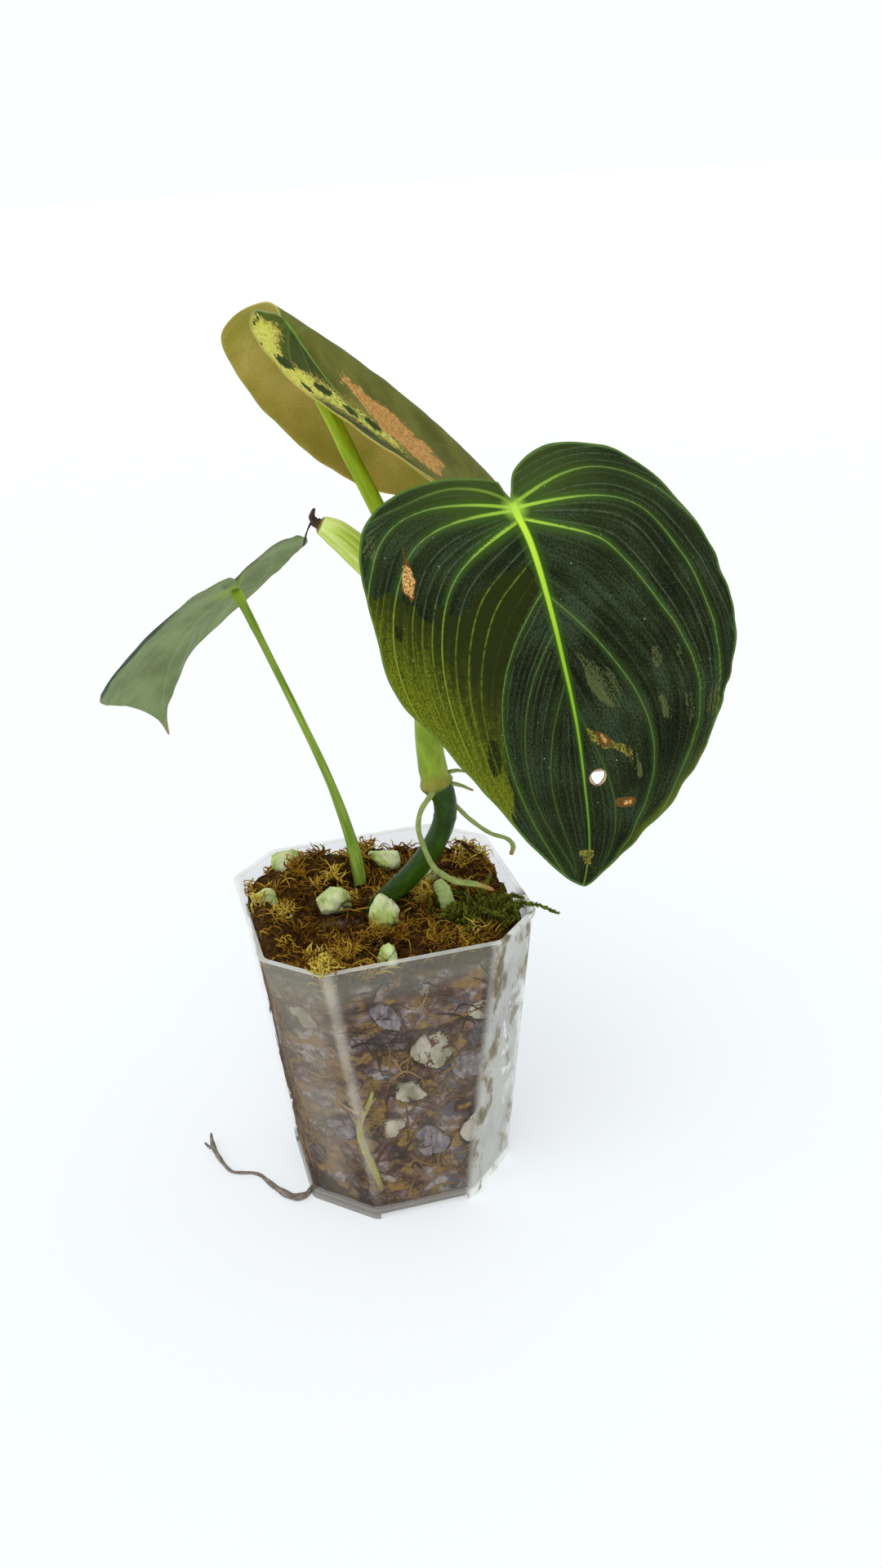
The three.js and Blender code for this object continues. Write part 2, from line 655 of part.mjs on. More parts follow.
/** A leaf's own axes: across to its left half, along to its tip, and out of its upper face. */
function leafAxes(leaf) {
  const azimuth = THREE.MathUtils.degToRad(leaf.azimuth);
  const elevation = THREE.MathUtils.degToRad(leaf.elevation);
  const roll = THREE.MathUtils.degToRad(leaf.roll);
  const along = RIGHTWARDS.clone()
    .multiplyScalar(Math.cos(azimuth) * Math.cos(elevation))
    .addScaledVector(TOWARDS, Math.sin(azimuth) * Math.cos(elevation));
  along.z += Math.sin(elevation);
  const level = new THREE.Vector3(0, 0, 1).addScaledVector(along, -along.z).normalize();
  const side = along.clone().cross(level);
  const face = level.multiplyScalar(Math.cos(roll)).addScaledVector(side, Math.sin(roll));
  return { across: along.clone().cross(face), along, face };
}

/** Where a half's section has got to, `s` from the midrib: [sideways, up]. Past the half width it is straight. */
function sectionPoint(half, width, s) {
  const rate = half.curl / width;
  const rest = Math.max(s - width, 0);
  const turned = half.rise - rate * Math.min(s, width);
  return [
    (Math.sin(half.rise) - Math.sin(turned)) / rate + rest * Math.cos(turned),
    (Math.cos(turned) - Math.cos(half.rise)) / rate + rest * Math.sin(turned),
  ];
}

/** The place in space of a point of the flat leaf. */
function bend(leaf, axes, along, across) {
  const part = along / leaf.length;
  const shifted = across + leaf.bow * part * (1 - part) * 4 * leaf.length;
  const rate = (along > 0 ? leaf.droop : leaf.lobeDroop) / leaf.length;
  const turn = rate * along;
  const half = shifted > 0 ? leaf.left : leaf.right;
  const [sideways, up] = sectionPoint(half, leaf.halfWidth, Math.abs(shifted));
  const x = shifted > 0 ? sideways : -sideways;
  const y = Math.sin(turn) / rate + up * Math.sin(turn);
  const z = (Math.cos(turn) - 1) / rate + up * Math.cos(turn);
  return new THREE.Vector3(...leaf.stalk)
    .addScaledVector(axes.across, x)
    .addScaledVector(axes.along, y)
    .addScaledVector(axes.face, z);
}

/** The blade's outline as one closed loop: from the notch down the left half to the tip and up the right. */
function leafOutline(leaf) {
  const half = (side, sign) => {
    const points = [[NOTCH, 0], ...side.outline, [1, 0]];
    return new THREE.SplineCurve(points.map(([along, across]) => new THREE.Vector2(along, across * sign)))
      .getPoints(LEAF_SPOKES / 2);
  };
  const left = half(leaf.left, 1);
  const right = half(leaf.right, -1).reverse();
  const loop = [...left, ...right.slice(1, -1)];
  return loop.map((p) => new THREE.Vector2(p.x * leaf.length, p.y * leaf.halfWidth));
}

/** A blade with its own thickness, or with both faces moved out by `extra`. */
function leafBlade(leaf, extra = 0) {
  const axes = leafAxes(leaf);
  const outline = leafOutline(leaf);
  const hub = new THREE.Vector2(leaf.length * LEAF_HUB, 0);
  const count = outline.length;
  const flat = [hub];
  for (let r = 1; r <= LEAF_RINGS; r++) {
    for (const edge of outline) {
      flat.push(hub.clone().lerp(edge, r / LEAF_RINGS));
    }
  }
  const step = 0.05;
  const normalAt = (p) => {
    const a = bend(leaf, axes, p.x + step, p.y).sub(bend(leaf, axes, p.x - step, p.y));
    const b = bend(leaf, axes, p.x, p.y + step).sub(bend(leaf, axes, p.x, p.y - step));
    return b.cross(a).normalize();
  };
  const middle = flat.map((p) => bend(leaf, axes, p.x, p.y));
  const upper = flat.map((p, i) => middle[i].clone().addScaledVector(normalAt(p), extra));
  const lower = flat.map((p, i) => middle[i].clone().addScaledVector(normalAt(p), -BLADE - extra));
  const index = [];
  const faces = (offset, flip) => {
    const tri = (a, b, c) => index.push(offset + a, offset + (flip ? c : b), offset + (flip ? b : c));
    for (let i = 0; i < count; i++) {
      const next = (i + 1) % count;
      tri(0, 1 + next, 1 + i);
      for (let r = 0; r < LEAF_RINGS - 1; r++) {
        const a = 1 + r * count + i;
        const b = 1 + r * count + next;
        tri(a, b, b + count);
        tri(a, b + count, a + count);
      }
    }
  };
  faces(0, true);
  faces(flat.length, false);
  const rim = 1 + (LEAF_RINGS - 1) * count;
  for (let i = 0; i < count; i++) {
    const a = rim + i;
    const b = rim + ((i + 1) % count);
    index.push(a, b + flat.length, b, a, a + flat.length, b + flat.length);
  }
  return fromPoints([...upper, ...lower], index);
}

function buildLeaves() {
  place('leaf_a', leafBlade(LEAF_A), COLOURS.bladeFront, 0.6);
  place('leaf_b', leafBlade(LEAF_B), COLOURS.bladeUpper, 0.6);
  place('leaf_c', leafBlade(LEAF_C), COLOURS.bladeUnder, 0.6);
}

buildPot();
buildMix();
buildStemAndStalks();
buildLeaves();

export default group;
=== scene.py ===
# A young velvet-leaved philodendron in a clear square nursery pot: the looks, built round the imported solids.
# Shapes are worked out in millimetres, as the solids have them, and made metres in their meshes.
import math
from types import SimpleNamespace

import bmesh
import bpy
import numpy as np
from mathutils import Matrix, Vector
from mathutils.bvhtree import BVHTree


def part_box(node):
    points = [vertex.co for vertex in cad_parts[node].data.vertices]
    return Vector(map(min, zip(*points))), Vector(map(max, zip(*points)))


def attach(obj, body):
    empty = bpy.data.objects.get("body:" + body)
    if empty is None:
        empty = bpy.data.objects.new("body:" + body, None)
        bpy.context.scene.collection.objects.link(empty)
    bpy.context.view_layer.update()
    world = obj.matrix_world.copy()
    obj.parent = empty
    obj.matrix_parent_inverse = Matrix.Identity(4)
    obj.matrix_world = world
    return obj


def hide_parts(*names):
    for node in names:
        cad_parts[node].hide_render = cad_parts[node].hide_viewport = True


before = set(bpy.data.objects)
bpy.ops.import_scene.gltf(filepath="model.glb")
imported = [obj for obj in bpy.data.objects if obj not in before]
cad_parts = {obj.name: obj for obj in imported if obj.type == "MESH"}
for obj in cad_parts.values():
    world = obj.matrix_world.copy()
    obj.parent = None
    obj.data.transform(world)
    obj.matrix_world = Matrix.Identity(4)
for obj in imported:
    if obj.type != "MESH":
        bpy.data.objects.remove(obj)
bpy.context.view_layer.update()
MM = 0.001
rng = np.random.default_rng(20261)

# Light of the stage
PALE_LIGHT = (0.94, 0.977, 1, 1)
FLOOR_REACH = 8.2
RING_REACH = 8
RING_HEIGHT = 6
ROOM_LIGHT = 0.78
WINDOW_LIGHT = 1.1

# Sizes of the pot
POT_HEIGHT = 100
TOP_WIDTH = 85
TOP_CUT = 15
BASE_WIDTH = 68
BASE_CUT = 18
WALL = 0.8
RIM_HEIGHT = 2
RIM_STEP = 0.4
RIM_OUT = 0.8
FOOT_WALL = 2.2 * WALL
FLOOR_LIFT = 2.4
FLOOR_TOP = FLOOR_LIFT + 0.9
ARCH_HEIGHT = 2.1
FOOT_WIDTH = 1.2
PAD_RADIUS = 7
DRAIN_RADIUS = 4.2
DRAIN_RING = 22
CORNER_ROUND = 1.6
EDGE_ROUND = 0.22
PAD_LIFT = 0.4
DRAIN_SHIFT = 1.5  # every other hole lies this much further out
CUT_SPARE = 4  # how far the tools that cut the arches reach past the wall

# Where the photograph was taken from: millimetres and degrees, in the level frame of the view
VIEW_TURN = math.radians(13.81)
VIEW_DROP = math.radians(24.33)
VIEW_ROLL = math.radians(-3.44)
VIEW_DISTANCE = 458.8
VIEW_TARGET = (21.49, 0, 136.78)
LENS = 34.11
SENSOR_WIDTH = 36

# Paths of the round pieces, with a radius at each point
STEM = (
    [(-7, 3, 84), (-1.7, -3, 96.5), (3.5, -7.5, 104.5), (7.6, -10.4, 109.5), (14.5, -15.9, 121.5),
     (18, -18.9, 132), (17.8, -19.8, 139.5), (16, -19.4, 144), (14.6, -20, 153.4), (14.2, -21, 163),
     (14.6, -22.4, 174), (15.8, -24.2, 186), (16.6, -25.4, 194)],
    [3.1, 3.3, 3.4, 3.4, 3.4, 3.4, 3.6, 4.7, 4.1, 4.0, 4.1, 4.3, 4.6],
)
STALK_A = (
    [(16.7, -25.7, 194.8), (18.5, -28.2, 201), (22, -32.6, 210.5), (26.2, -40, 221), (29.6, -48.6, 229.3),
     (31.6, -56.6, 233.3)],
    [4.1, 3.6, 3.1, 2.8, 2.5, 1.9],
)
STALK_B = (
    [(16, -23, 190), (14.2, -19.6, 199), (10.5, -14.9, 210.8), (7, -8.9, 223.9), (1.8, -0.4, 238.8),
     (-2.5, 7.8, 251.5), (-7.1, 16.8, 262.2), (-10.1, 23.7, 272.1)],
    [3.3, 3.0, 2.7, 2.5, 2.4, 2.2, 1.8, 1.1],
)
STALK_C = (
    [(-2.2, 19.8, 84), (-2.9, 21.3, 99.9), (-3.7, 23.6, 108.1), (-7.9, 28.7, 127.4), (-14.1, 36.4, 147.1),
     (-21.4, 44.4, 168.1), (-26.8, 50.9, 183.5), (-29.2, 52.9, 189.6)],
    [2.4, 2.3, 2.0, 1.5, 1.3, 1.2, 1.5, 2.1],
)
SHEATH = (
    [(15.4, -24.4, 191), (10.2, -23.1, 201.3), (4.1, -21.6, 209.9), (-2.3, -20, 217.3), (-8, -18.6, 222.9),
     (-12.2, -17.5, 225.6)],
    [3.6, 4.3, 4.5, 4.3, 3.7, 2.4],
)
# Rings of the stem: where in its length, how much they swell it and how wide they are
NODE_RINGS = ((0.585, 0.1, 0.012), (0.61, -0.06, 0.012), (0.2, 0.05, 0.006), (0.42, 0.05, 0.006))
DRY_TIP = ([(-11.2, -17.7, 225.1), (-12.9, -17.3, 226), (-13.6, -17.2, 227.7), (-12.7, -17.5, 230)],
           [1.8, 1.3, 0.85, 0.35])
DRY_THREAD = ([(-13.6, -17.2, 226.6), (-15.2, -17.2, 224), (-16.2, -17.3, 221.4), (-16.8, -17.4, 219.6)],
              [0.45, 0.2, 0.32, 0.12])
AERIAL_ROOTS = (
    ([(15.6, -21.4, 144.2), (12.4, -24.2, 142), (9.9, -24, 138.5), (8.6, -23.6, 132.6), (9.8, -23.4, 126.1),
      (12.3, -23.8, 119), (15.7, -24.4, 115.2), (19.2, -25.3, 113), (25.1, -26.8, 111.7),
      (29.9, -27.9, 109.4)],
     [1.2, 1.1, 1.0, 1.0, 1.0, 1.05, 1.15, 1.3, 1.1, 0.6]),
    ([(17, -20, 144), (21.4, -22.3, 143.9), (25.8, -24.9, 142.2)], [1.0, 0.8, 0.4]),
    ([(17.8, -19.6, 139), (21.5, -19.4, 135.6), (25.8, -18.7, 130), (32.2, -18.2, 123.9), (37.6, -18.7, 121),
      (39.2, -18.9, 118.4), (38.4, -18.7, 115.4)],
     [1.0, 0.9, 0.85, 0.8, 0.8, 1.0, 0.8]),
    ([(16, -19.6, 145.6), (20.1, -19.4, 146.9), (22.7, -19, 146.8),
      (25.3, -18.6, 145.8)], [0.9, 0.8, 0.7, 0.4]),
)
ROOT_STUB = ([(17.2, -6.6, 104.5), (18.4, -8, 102), (20.2, -10, 95), (21, -11, 88)], [1.6, 2.4, 2.5, 2.4])
POT_ROOT = (
    [(-14.3, -36.4, 52), (-16.2, -36, 46.5), (-18.6, -35.3, 41.5), (-19.2, -34.9, 36), (-18, -34.6, 29),
     (-15.6, -34.2, 20), (-13.6, -33.4, 11)],
    [0.6, 1.0, 1.1, 1.2, 1.2, 1.2, 0.9],
)
STRAY_ROOT = (
    [(-22, -1.2, 3.1), (-22.6, -2.6, 2), (-24, -4.6, 1.15), (-28, -9, 1.05), (-33.6, -13, 1.05),
     (-36.3, -15.6, 1.25), (-39.6, -15.9, 1.5), (-42.7, -12.9, 1.4), (-45, -8.9, 1.1), (-47.2, -4.3, 0.9),
     (-49, -0.2, 0.8), (-51.4, 2, 0.8), (-54.6, 3.1, 0.8), (-58, 4.7, 0.9), (-59.7, 7.8, 1.2),
     (-61.2, 12.3, 1.7), (-62.2, 16.8, 2.2), (-62.6, 20.5, 2.8), (-62.4, 24.6, 4)],
    [0.6, 0.7, 0.8, 0.85, 0.9, 1.1, 1.25, 1.15, 0.95, 0.8, 0.6, 0.55, 0.55, 0.55, 0.6, 0.75, 0.9, 0.8, 0.35],
)
STRAY_FORK = ([(-62.2, 17.4, 2.2), (-63.8, 19.4, 1.9), (-65.2, 21.6, 2.6)], [0.6, 0.55, 0.35])
# The part of its radius that a round piece keeps at its very ends
BLUNT_TIP = 0.12
# Paths of the green moss's long shoots
MOSS_SHOOTS = (
    [(30, -20, 95), (36, -24, 101), (42, -29, 102.6), (47.5, -34, 101.4)],
    [(32, -16, 95), (36, -17, 99), (38.5, -19, 101), (40, -21, 101.4)],
    [(26, -19, 95), (27, -22, 99.5), (29, -26, 101), (31, -29, 101)],
    [(24, -15, 95), (21, -15, 99), (17.5, -17, 99.5), (15, -19.5, 99)],
    [(30, -13, 95), (31, -10, 99.5), (33.5, -7, 101), (35, -5, 101.6)],
    [(27, -23, 94), (24, -26, 98), (21, -29, 98.5), (18.5, -31, 98)],
)

# Moss and the top of the mix: places in millimetres, seen from above
MOSS_HEADS = 170
HEAD_STRANDS = 28
LONG_STRANDS = 420
PRESSED_STRANDS = 4200
SMALL_SHOOTS = 60
STRAND_POINTS = 6
TOP_LUMPS_ABOVE = 88
MIX_TOP_STARTS = 86
MIX_STEP = 2.6  # the longest edge left in the mix's rough skin
HEAPED_SHARE = 0.8  # of the heaps, in the mix itself
PRESSED_LOW = 5
PRESSED_HIGH = 92
SHOOTS_MIDDLE = (29.5, -18, 96)
LONG_SHOOT_POINTS = 34
SHORT_SHOOT_POINTS = 14
RAY_START = 200  # a height above everything in the pot
LOWEST_TOP = 80
# Spots kept free of moss, each with its x, y, z and radius
CLEAR_SPOTS = [(19, -9, 100, 4.5), (17, -13, 100, 3), (-1, -3, 100, 4), (-2.9, 21.3, 100, 3.5)]
CORNER_TUFT = [(-26.5, -40.6, 101.6), (-24.5, -40.4, 101), (-28, -39.6, 101), (-26, -38.6, 101.6),
               (-27.3, -40.6, 101), (-22.5, -39.6, 100.4)]
# Each with its x, y and reach, and then its height or how much lighter it is
MOUNDS = ((-20, 22, 9, 6.5), (31, 14, 8, 5.5), (-36, 2, 7, 3.5), (4, 31, 8, 4))
# The dark tone spot left of the middle is painted shade in a hollow of the moss.
TONE_AND_SHADE_SPOTS = ((-26, -41, 4, 0.35), (34, 8, 9, 0.3), (-26, -33, 9, 0.32), (-34, 6, 8, 0.15),
              (-22, -8, 11, -0.34), (-2, -24, 8, -0.2), (8, 14, 9, -0.1), (22, -30, 9, 0.1))

# Leaves: flat outlines from the notch at the stalk to the tip, as (along, across) in parts of the length and
# of the half width
LEAF_A = dict(
    stalk=(31.5, -57.1, 233.6), azimuth=65.3, elevation=-67, roll=18.9, length=106.5, half_width=46.8,
    bow=-0.05, droop=0.52, lobe_droop=0.3, waves=0.008,
    midrib=[(-0.2, 0), (0, 0), (0.09, -0.008), (0.22, 0.005), (0.38, 0.016), (0.53, 0.012), (0.7, 0.005),
            (0.89, -0.017), (1, 0.005)],
    left=dict(rise=0.11, curl=0.45, outline=[
        (-0.07, 0.03), (-0.1, 0.29), (-0.09, 0.58), (-0.01, 0.85), (0.2, 0.98),
        (0.39, 0.94), (0.54, 0.75), (0.8, 0.39), (0.95, 0.13)]),
    right=dict(rise=0.14, curl=0.45, outline=[
        (-0.09, 0.09), (-0.13, 0.32), (-0.1, 0.58), (-0.01, 0.81), (0.21, 1),
        (0.46, 0.98), (0.73, 0.66), (0.9, 0.26), (0.98, 0.06)]),
)
LEAF_B = dict(
    stalk=(-8.8, 23.1, 273.7), azimuth=-21.5, elevation=-35.5, roll=32.7, length=112, half_width=49.7,
    bow=0.2, droop=0.32, lobe_droop=0.2, waves=0.003,
    midrib=[(-0.2, 0), (0, 0), (0.04, 0.02), (0.09, 0.07), (0.15, 0.14), (0.21, 0.19), (0.28, 0.24),
            (0.4, 0.26), (0.55, 0.21), (0.7, 0.13), (0.85, 0.05), (1, 0)],
    left=dict(rise=-0.08, curl=-0.6, outline=[
        (-0.05, 0.09), (-0.1, 0.28), (-0.09, 0.52), (0.04, 0.75), (0.24, 0.89),
        (0.46, 0.87), (0.67, 0.67), (0.85, 0.34), (0.96, 0.1)]),
    right=dict(rise=0.01, curl=2.72, outline=[
        (-0.04, 0.24), (-0.07, 0.56), (0.03, 0.92), (0.19, 1.28), (0.38, 1.48),
        (0.58, 1.42), (0.78, 1.08), (0.91, 0.58), (0.97, 0.2)]),
)
LEAF_C = dict(
    stalk=(-29.4, 53.1, 190), azimuth=222.2, elevation=-34, roll=-21.1, length=89.8, half_width=43.3,
    bow=-0.06, droop=0.58, lobe_droop=0.13, waves=0.003,
    midrib=[(-0.2, 0), (1, 0)],
    left=dict(rise=0.24, curl=0.92, outline=[
        (-0.03, 0.13), (-0.08, 0.36), (-0.07, 0.64), (0, 0.91), (0.19, 0.99),
        (0.4, 0.92), (0.56, 0.65), (0.64, 0.27), (0.8, 0.06)]),
    right=dict(rise=0.49, curl=0.6, outline=[
        (-0.1, 0.18), (-0.17, 0.43), (-0.13, 0.7), (0.01, 0.93), (0.2, 1.01),
        (0.37, 0.92), (0.55, 0.65), (0.72, 0.29), (0.87, 0.07)]),
)
NOTCH = -0.02
LEAF_HUB = 0.25  # where a sheet's spokes meet, as a part of the leaf's length
SPOKES = 336
RINGS = 84
BLADE = 0.5  # thickness
MARGIN_POINTS = 180
CALM_EDGE = 7  # the quilting fades out from here to the margin
CALM_REACH = 16  # and from here to the stalk
WIDE_GAP = 13  # side veins this far apart have the full quilting between them
RIB_GROOVE = 0.35
VEIN_SMOOTHING = 70  # rounds of it
VEIN_RUN_ON = 30  # past both ends of a vein
FINE_VEINS = 5  # between two side veins
VELVET_TINT = (0.65, 0.75, 0.5, 1)

# Main side veins of the front leaf, from the midrib out, as (along, across) in the same parts, each with its
# strength. The other leaves have the same ones, drawn to their own width.
VEINS_LEFT = (
    ([(-0.015, 0), (-0.055, 0.09), (-0.075, 0.2), (-0.08, 0.3), (-0.08, 0.44), (-0.05, 0.7)], 0.35),
    ([(0, 0), (-0.02, 0.125), (-0.035, 0.27), (-0.045, 0.4), (-0.045, 0.53), (-0.03, 0.65), (-0.005, 0.76),
      (0.03, 0.84), (0.09, 0.925), (0.2, 1.05)], 0.8),
    ([(0.005, 0), (0.003, 0.145), (0, 0.275), (0, 0.38), (0.01, 0.49), (0.04, 0.645), (0.06, 0.685),
      (0.105, 0.76), (0.15, 0.83), (0.2, 0.89), (0.3, 0.935), (0.37, 0.93), (0.445, 0.885), (0.525, 0.815),
      (0.65, 0.66)], 0.85),
    ([(0.03, 0), (0.055, 0.17), (0.08, 0.31), (0.11, 0.42), (0.14, 0.5), (0.175, 0.56), (0.25, 0.64),
      (0.335, 0.69), (0.43, 0.7), (0.53, 0.67), (0.62, 0.615), (0.71, 0.55), (0.79, 0.46),
      (0.92, 0.24)], 1.0),
    ([(0.2, 0), (0.257, 0.156), (0.307, 0.248), (0.377, 0.343), (0.437, 0.396), (0.5, 0.43), (0.566, 0.435),
      (0.635, 0.43), (0.8, 0.335), (0.9, 0.23), (0.96, 0.12)], 0.75),
    ([(0.3, 0), (0.375, 0.16), (0.44, 0.25), (0.51, 0.31), (0.59, 0.34), (0.69, 0.337), (0.77, 0.29),
      (0.9, 0.15), (0.96, 0.06)], 0.35),
    ([(0.42, 0), (0.52, 0.134), (0.59, 0.18), (0.66, 0.207), (0.73, 0.206), (0.82, 0.165),
      (0.93, 0.08)], 0.35),
)
VEINS_RIGHT = (
    ([(-0.01, 0), (-0.04, 0.18), (-0.065, 0.33), (-0.07, 0.46), (-0.05, 0.62), (-0.01, 0.74), (0.04, 0.84),
      (0.075, 0.9), (0.17, 0.975), (0.3, 1.1)], 0.7),
    ([(0, 0), (0, 0.2), (0, 0.35), (0.01, 0.485), (0.03, 0.585), (0.05, 0.66), (0.095, 0.71), (0.145, 0.765),
      (0.22, 0.82), (0.29, 0.885), (0.37, 0.93), (0.5, 0.92), (0.62, 0.84), (0.75, 0.68)], 0.95),
    ([(0.025, 0), (0.065, 0.17), (0.085, 0.27), (0.1, 0.37), (0.125, 0.415), (0.155, 0.45), (0.215, 0.51),
      (0.27, 0.58), (0.325, 0.64), (0.38, 0.69), (0.43, 0.73), (0.48, 0.755), (0.53, 0.755), (0.59, 0.73),
      (0.67, 0.67), (0.74, 0.58), (0.88, 0.33)], 1.0),
    ([(0.215, 0), (0.26, 0.065), (0.3, 0.155), (0.355, 0.225), (0.43, 0.3), (0.465, 0.35), (0.525, 0.39),
      (0.58, 0.42), (0.645, 0.435), (0.705, 0.42), (0.765, 0.37), (0.82, 0.31), (0.875, 0.25),
      (0.95, 0.12)], 0.85),
    ([(0.48, 0), (0.56, 0.045), (0.65, 0.11), (0.71, 0.165), (0.785, 0.177), (0.88, 0.165),
      (0.96, 0.08)], 0.35),
)
EDGE_CELL = 9  # millimetres for one step of the vein count outside the first vein

# Marks on the leaves, as outlines in the same flat parts; across is positive on the left half
FRONT_MARKS = {
    "sector": [[
        (0.1, 1.2), (0.115, 0.94), (0.14, 0.906), (0.127, 0.852), (0.133, 0.794), (0.16, 0.783), (0.171, 0.7),
        (0.214, 0.68), (0.229, 0.643), (0.184, 0.593), (0.189, 0.565), (0.21, 0.555), (0.217, 0.5),
        (0.211, 0.438), (0.182, 0.416), (0.167, 0.33), (0.147, 0.225), (0.142, 0.16), (0.134, 0.06),
        (0.2, 0.03), (0.257, 0.15), (0.307, 0.245), (0.377, 0.34), (0.437, 0.393), (0.5, 0.427),
        (0.57, 0.434), (0.64, 0.435), (0.7, 0.43), (0.78, 0.41), (0.84, 0.4), (1.1, 0.6), (0.7, 1.4)]],
    "tear": [
        [(-0.012, 0.62), (0.039, 0.648), (0.075, 0.66), (0.117, 0.65), (0.14, 0.68), (0.157, 0.69),
         (0.17, 0.723), (0.151, 0.727), (0.13, 0.75), (0.115, 0.728), (0.081, 0.69), (0.035, 0.657)],
        [(0.757, -0.165), (0.752, -0.217), (0.757, -0.27), (0.772, -0.29), (0.786, -0.264), (0.786, -0.216),
         (0.775, -0.165)],
        [(0.565, -0.08), (0.578, -0.14), (0.597, -0.17), (0.614, -0.15), (0.606, -0.11), (0.591, -0.09)]],
    "tan": [
        [(0.07, 0.69), (0.088, 0.665), (0.12, 0.655), (0.14, 0.68), (0.158, 0.7), (0.15, 0.73),
         (0.12, 0.725)],
        [(0.763, -0.2), (0.76, -0.24), (0.769, -0.27), (0.78, -0.25), (0.778, -0.2)],
        [(0.577, -0.11), (0.583, -0.135), (0.598, -0.15), (0.6, -0.12)]],
    "yellow": [
        [(0.556, -0.034), (0.564, -0.078), (0.582, -0.135), (0.599, -0.178), (0.614, -0.238), (0.631, -0.276),
         (0.669, -0.298), (0.66, -0.265), (0.64, -0.225), (0.622, -0.167), (0.614, -0.114), (0.588, -0.06)],
        [(0.886, 0.058), (0.891, -0.042), (0.913, -0.052), (0.918, -0.025), (0.949, -0.049), (0.93, 0.002),
         (0.906, 0.024)]],
    "pale": [
        [(0.362, -0.046), (0.363, -0.083), (0.395, -0.141), (0.427, -0.221), (0.471, -0.257), (0.526, -0.255),
         (0.523, -0.196), (0.494, -0.124), (0.457, -0.079), (0.404, -0.069)],
        [(0.39, -0.455), (0.392, -0.525), (0.42, -0.53), (0.445, -0.515), (0.445, -0.465)],
        [(0.392, -0.6), (0.396, -0.66), (0.443, -0.672), (0.462, -0.632), (0.425, -0.61)],
        [(0.505, -0.45), (0.509, -0.495), (0.564, -0.535), (0.588, -0.53), (0.577, -0.475), (0.537, -0.452)],
        [(0.52, -0.625), (0.526, -0.685), (0.56, -0.695), (0.6, -0.685), (0.62, -0.636), (0.58, -0.61)],
        [(0.545, -0.765), (0.538, -0.83), (0.58, -0.85), (0.605, -0.79), (0.585, -0.745)],
        [(0.61, -0.245), (0.62, -0.295), (0.685, -0.33), (0.715, -0.335), (0.714, -0.29), (0.66, -0.245)],
        [(-0.01, 0.82), (-0.01, 0.783), (0.026, 0.785), (0.06, 0.846), (0.035, 0.86)]],
    "flecks": [
        [(0.535, 0.515), (0.545, 0.475), (0.577, 0.465), (0.63, 0.5), (0.622, 0.535), (0.575, 0.53)],
        [(0.214, 0.84), (0.228, 0.806), (0.248, 0.831), (0.238, 0.858)]],
}
UPPER_MARKS = {
    "yellow": [[
        (-0.12, 0.5), (-0.12, 0.33), (-0.09, 0.25), (-0.063, 0.2), (-0.035, 0.14), (-0.01, 0.15),
        (-0.015, 0.24), (-0.02, 0.355), (-0.01, 0.388), (0.027, 0.352), (0.074, 0.262), (0.111, 0.215),
        (0.153, 0.2), (0.2, 0.12), (0.26, 0.08), (0.33, 0.1), (0.36, 0.2), (0.3, 0.3), (0.2, 0.42),
        (0.13, 0.5), (0.08, 0.6), (0.04, 0.75), (-0.02, 0.85), (-0.1, 0.8)]],
    "blots": [
        [(-0.042, 0.507), (-0.017, 0.397), (0.012, 0.375), (0.013, 0.455), (-0.01, 0.55), (-0.034, 0.585)],
        [(0.058, 0.406), (0.091, 0.293), (0.123, 0.251), (0.13, 0.316), (0.102, 0.398), (0.065, 0.473)],
        [(0.149, 0.338), (0.189, 0.219), (0.209, 0.237), (0.18, 0.359), (0.149, 0.433)],
        [(-0.09, 0.519), (-0.068, 0.49), (-0.07, 0.565), (-0.088, 0.6)],
        [(-0.105, 0.359), (-0.092, 0.27), (-0.08, 0.294), (-0.085, 0.39), (-0.102, 0.44)],
        [(0.23, 0.12), (0.27, 0.11), (0.29, 0.17), (0.26, 0.24), (0.23, 0.2)],
        [(0.01, 0.62), (0.02, 0.56), (0.04, 0.55), (0.05, 0.62), (0.03, 0.67)]],
    "salmon": [[
        (0.155, -0.07), (0.18, -0.12), (0.231, -0.155), (0.27, -0.17), (0.32, -0.24), (0.37, -0.23),
        (0.43, -0.22), (0.47, -0.2), (0.5, -0.17), (0.535, -0.17), (0.55, -0.12), (0.52, -0.07),
        (0.5, 0.06), (0.47, 0.11), (0.421, 0.13), (0.351, 0.14), (0.3, 0.12), (0.25, 0.07), (0.208, 0.02),
        (0.172, -0.03)]],
}
HOLE = (0.688, -0.072, 1.9)  # along, across, radius in millimetres


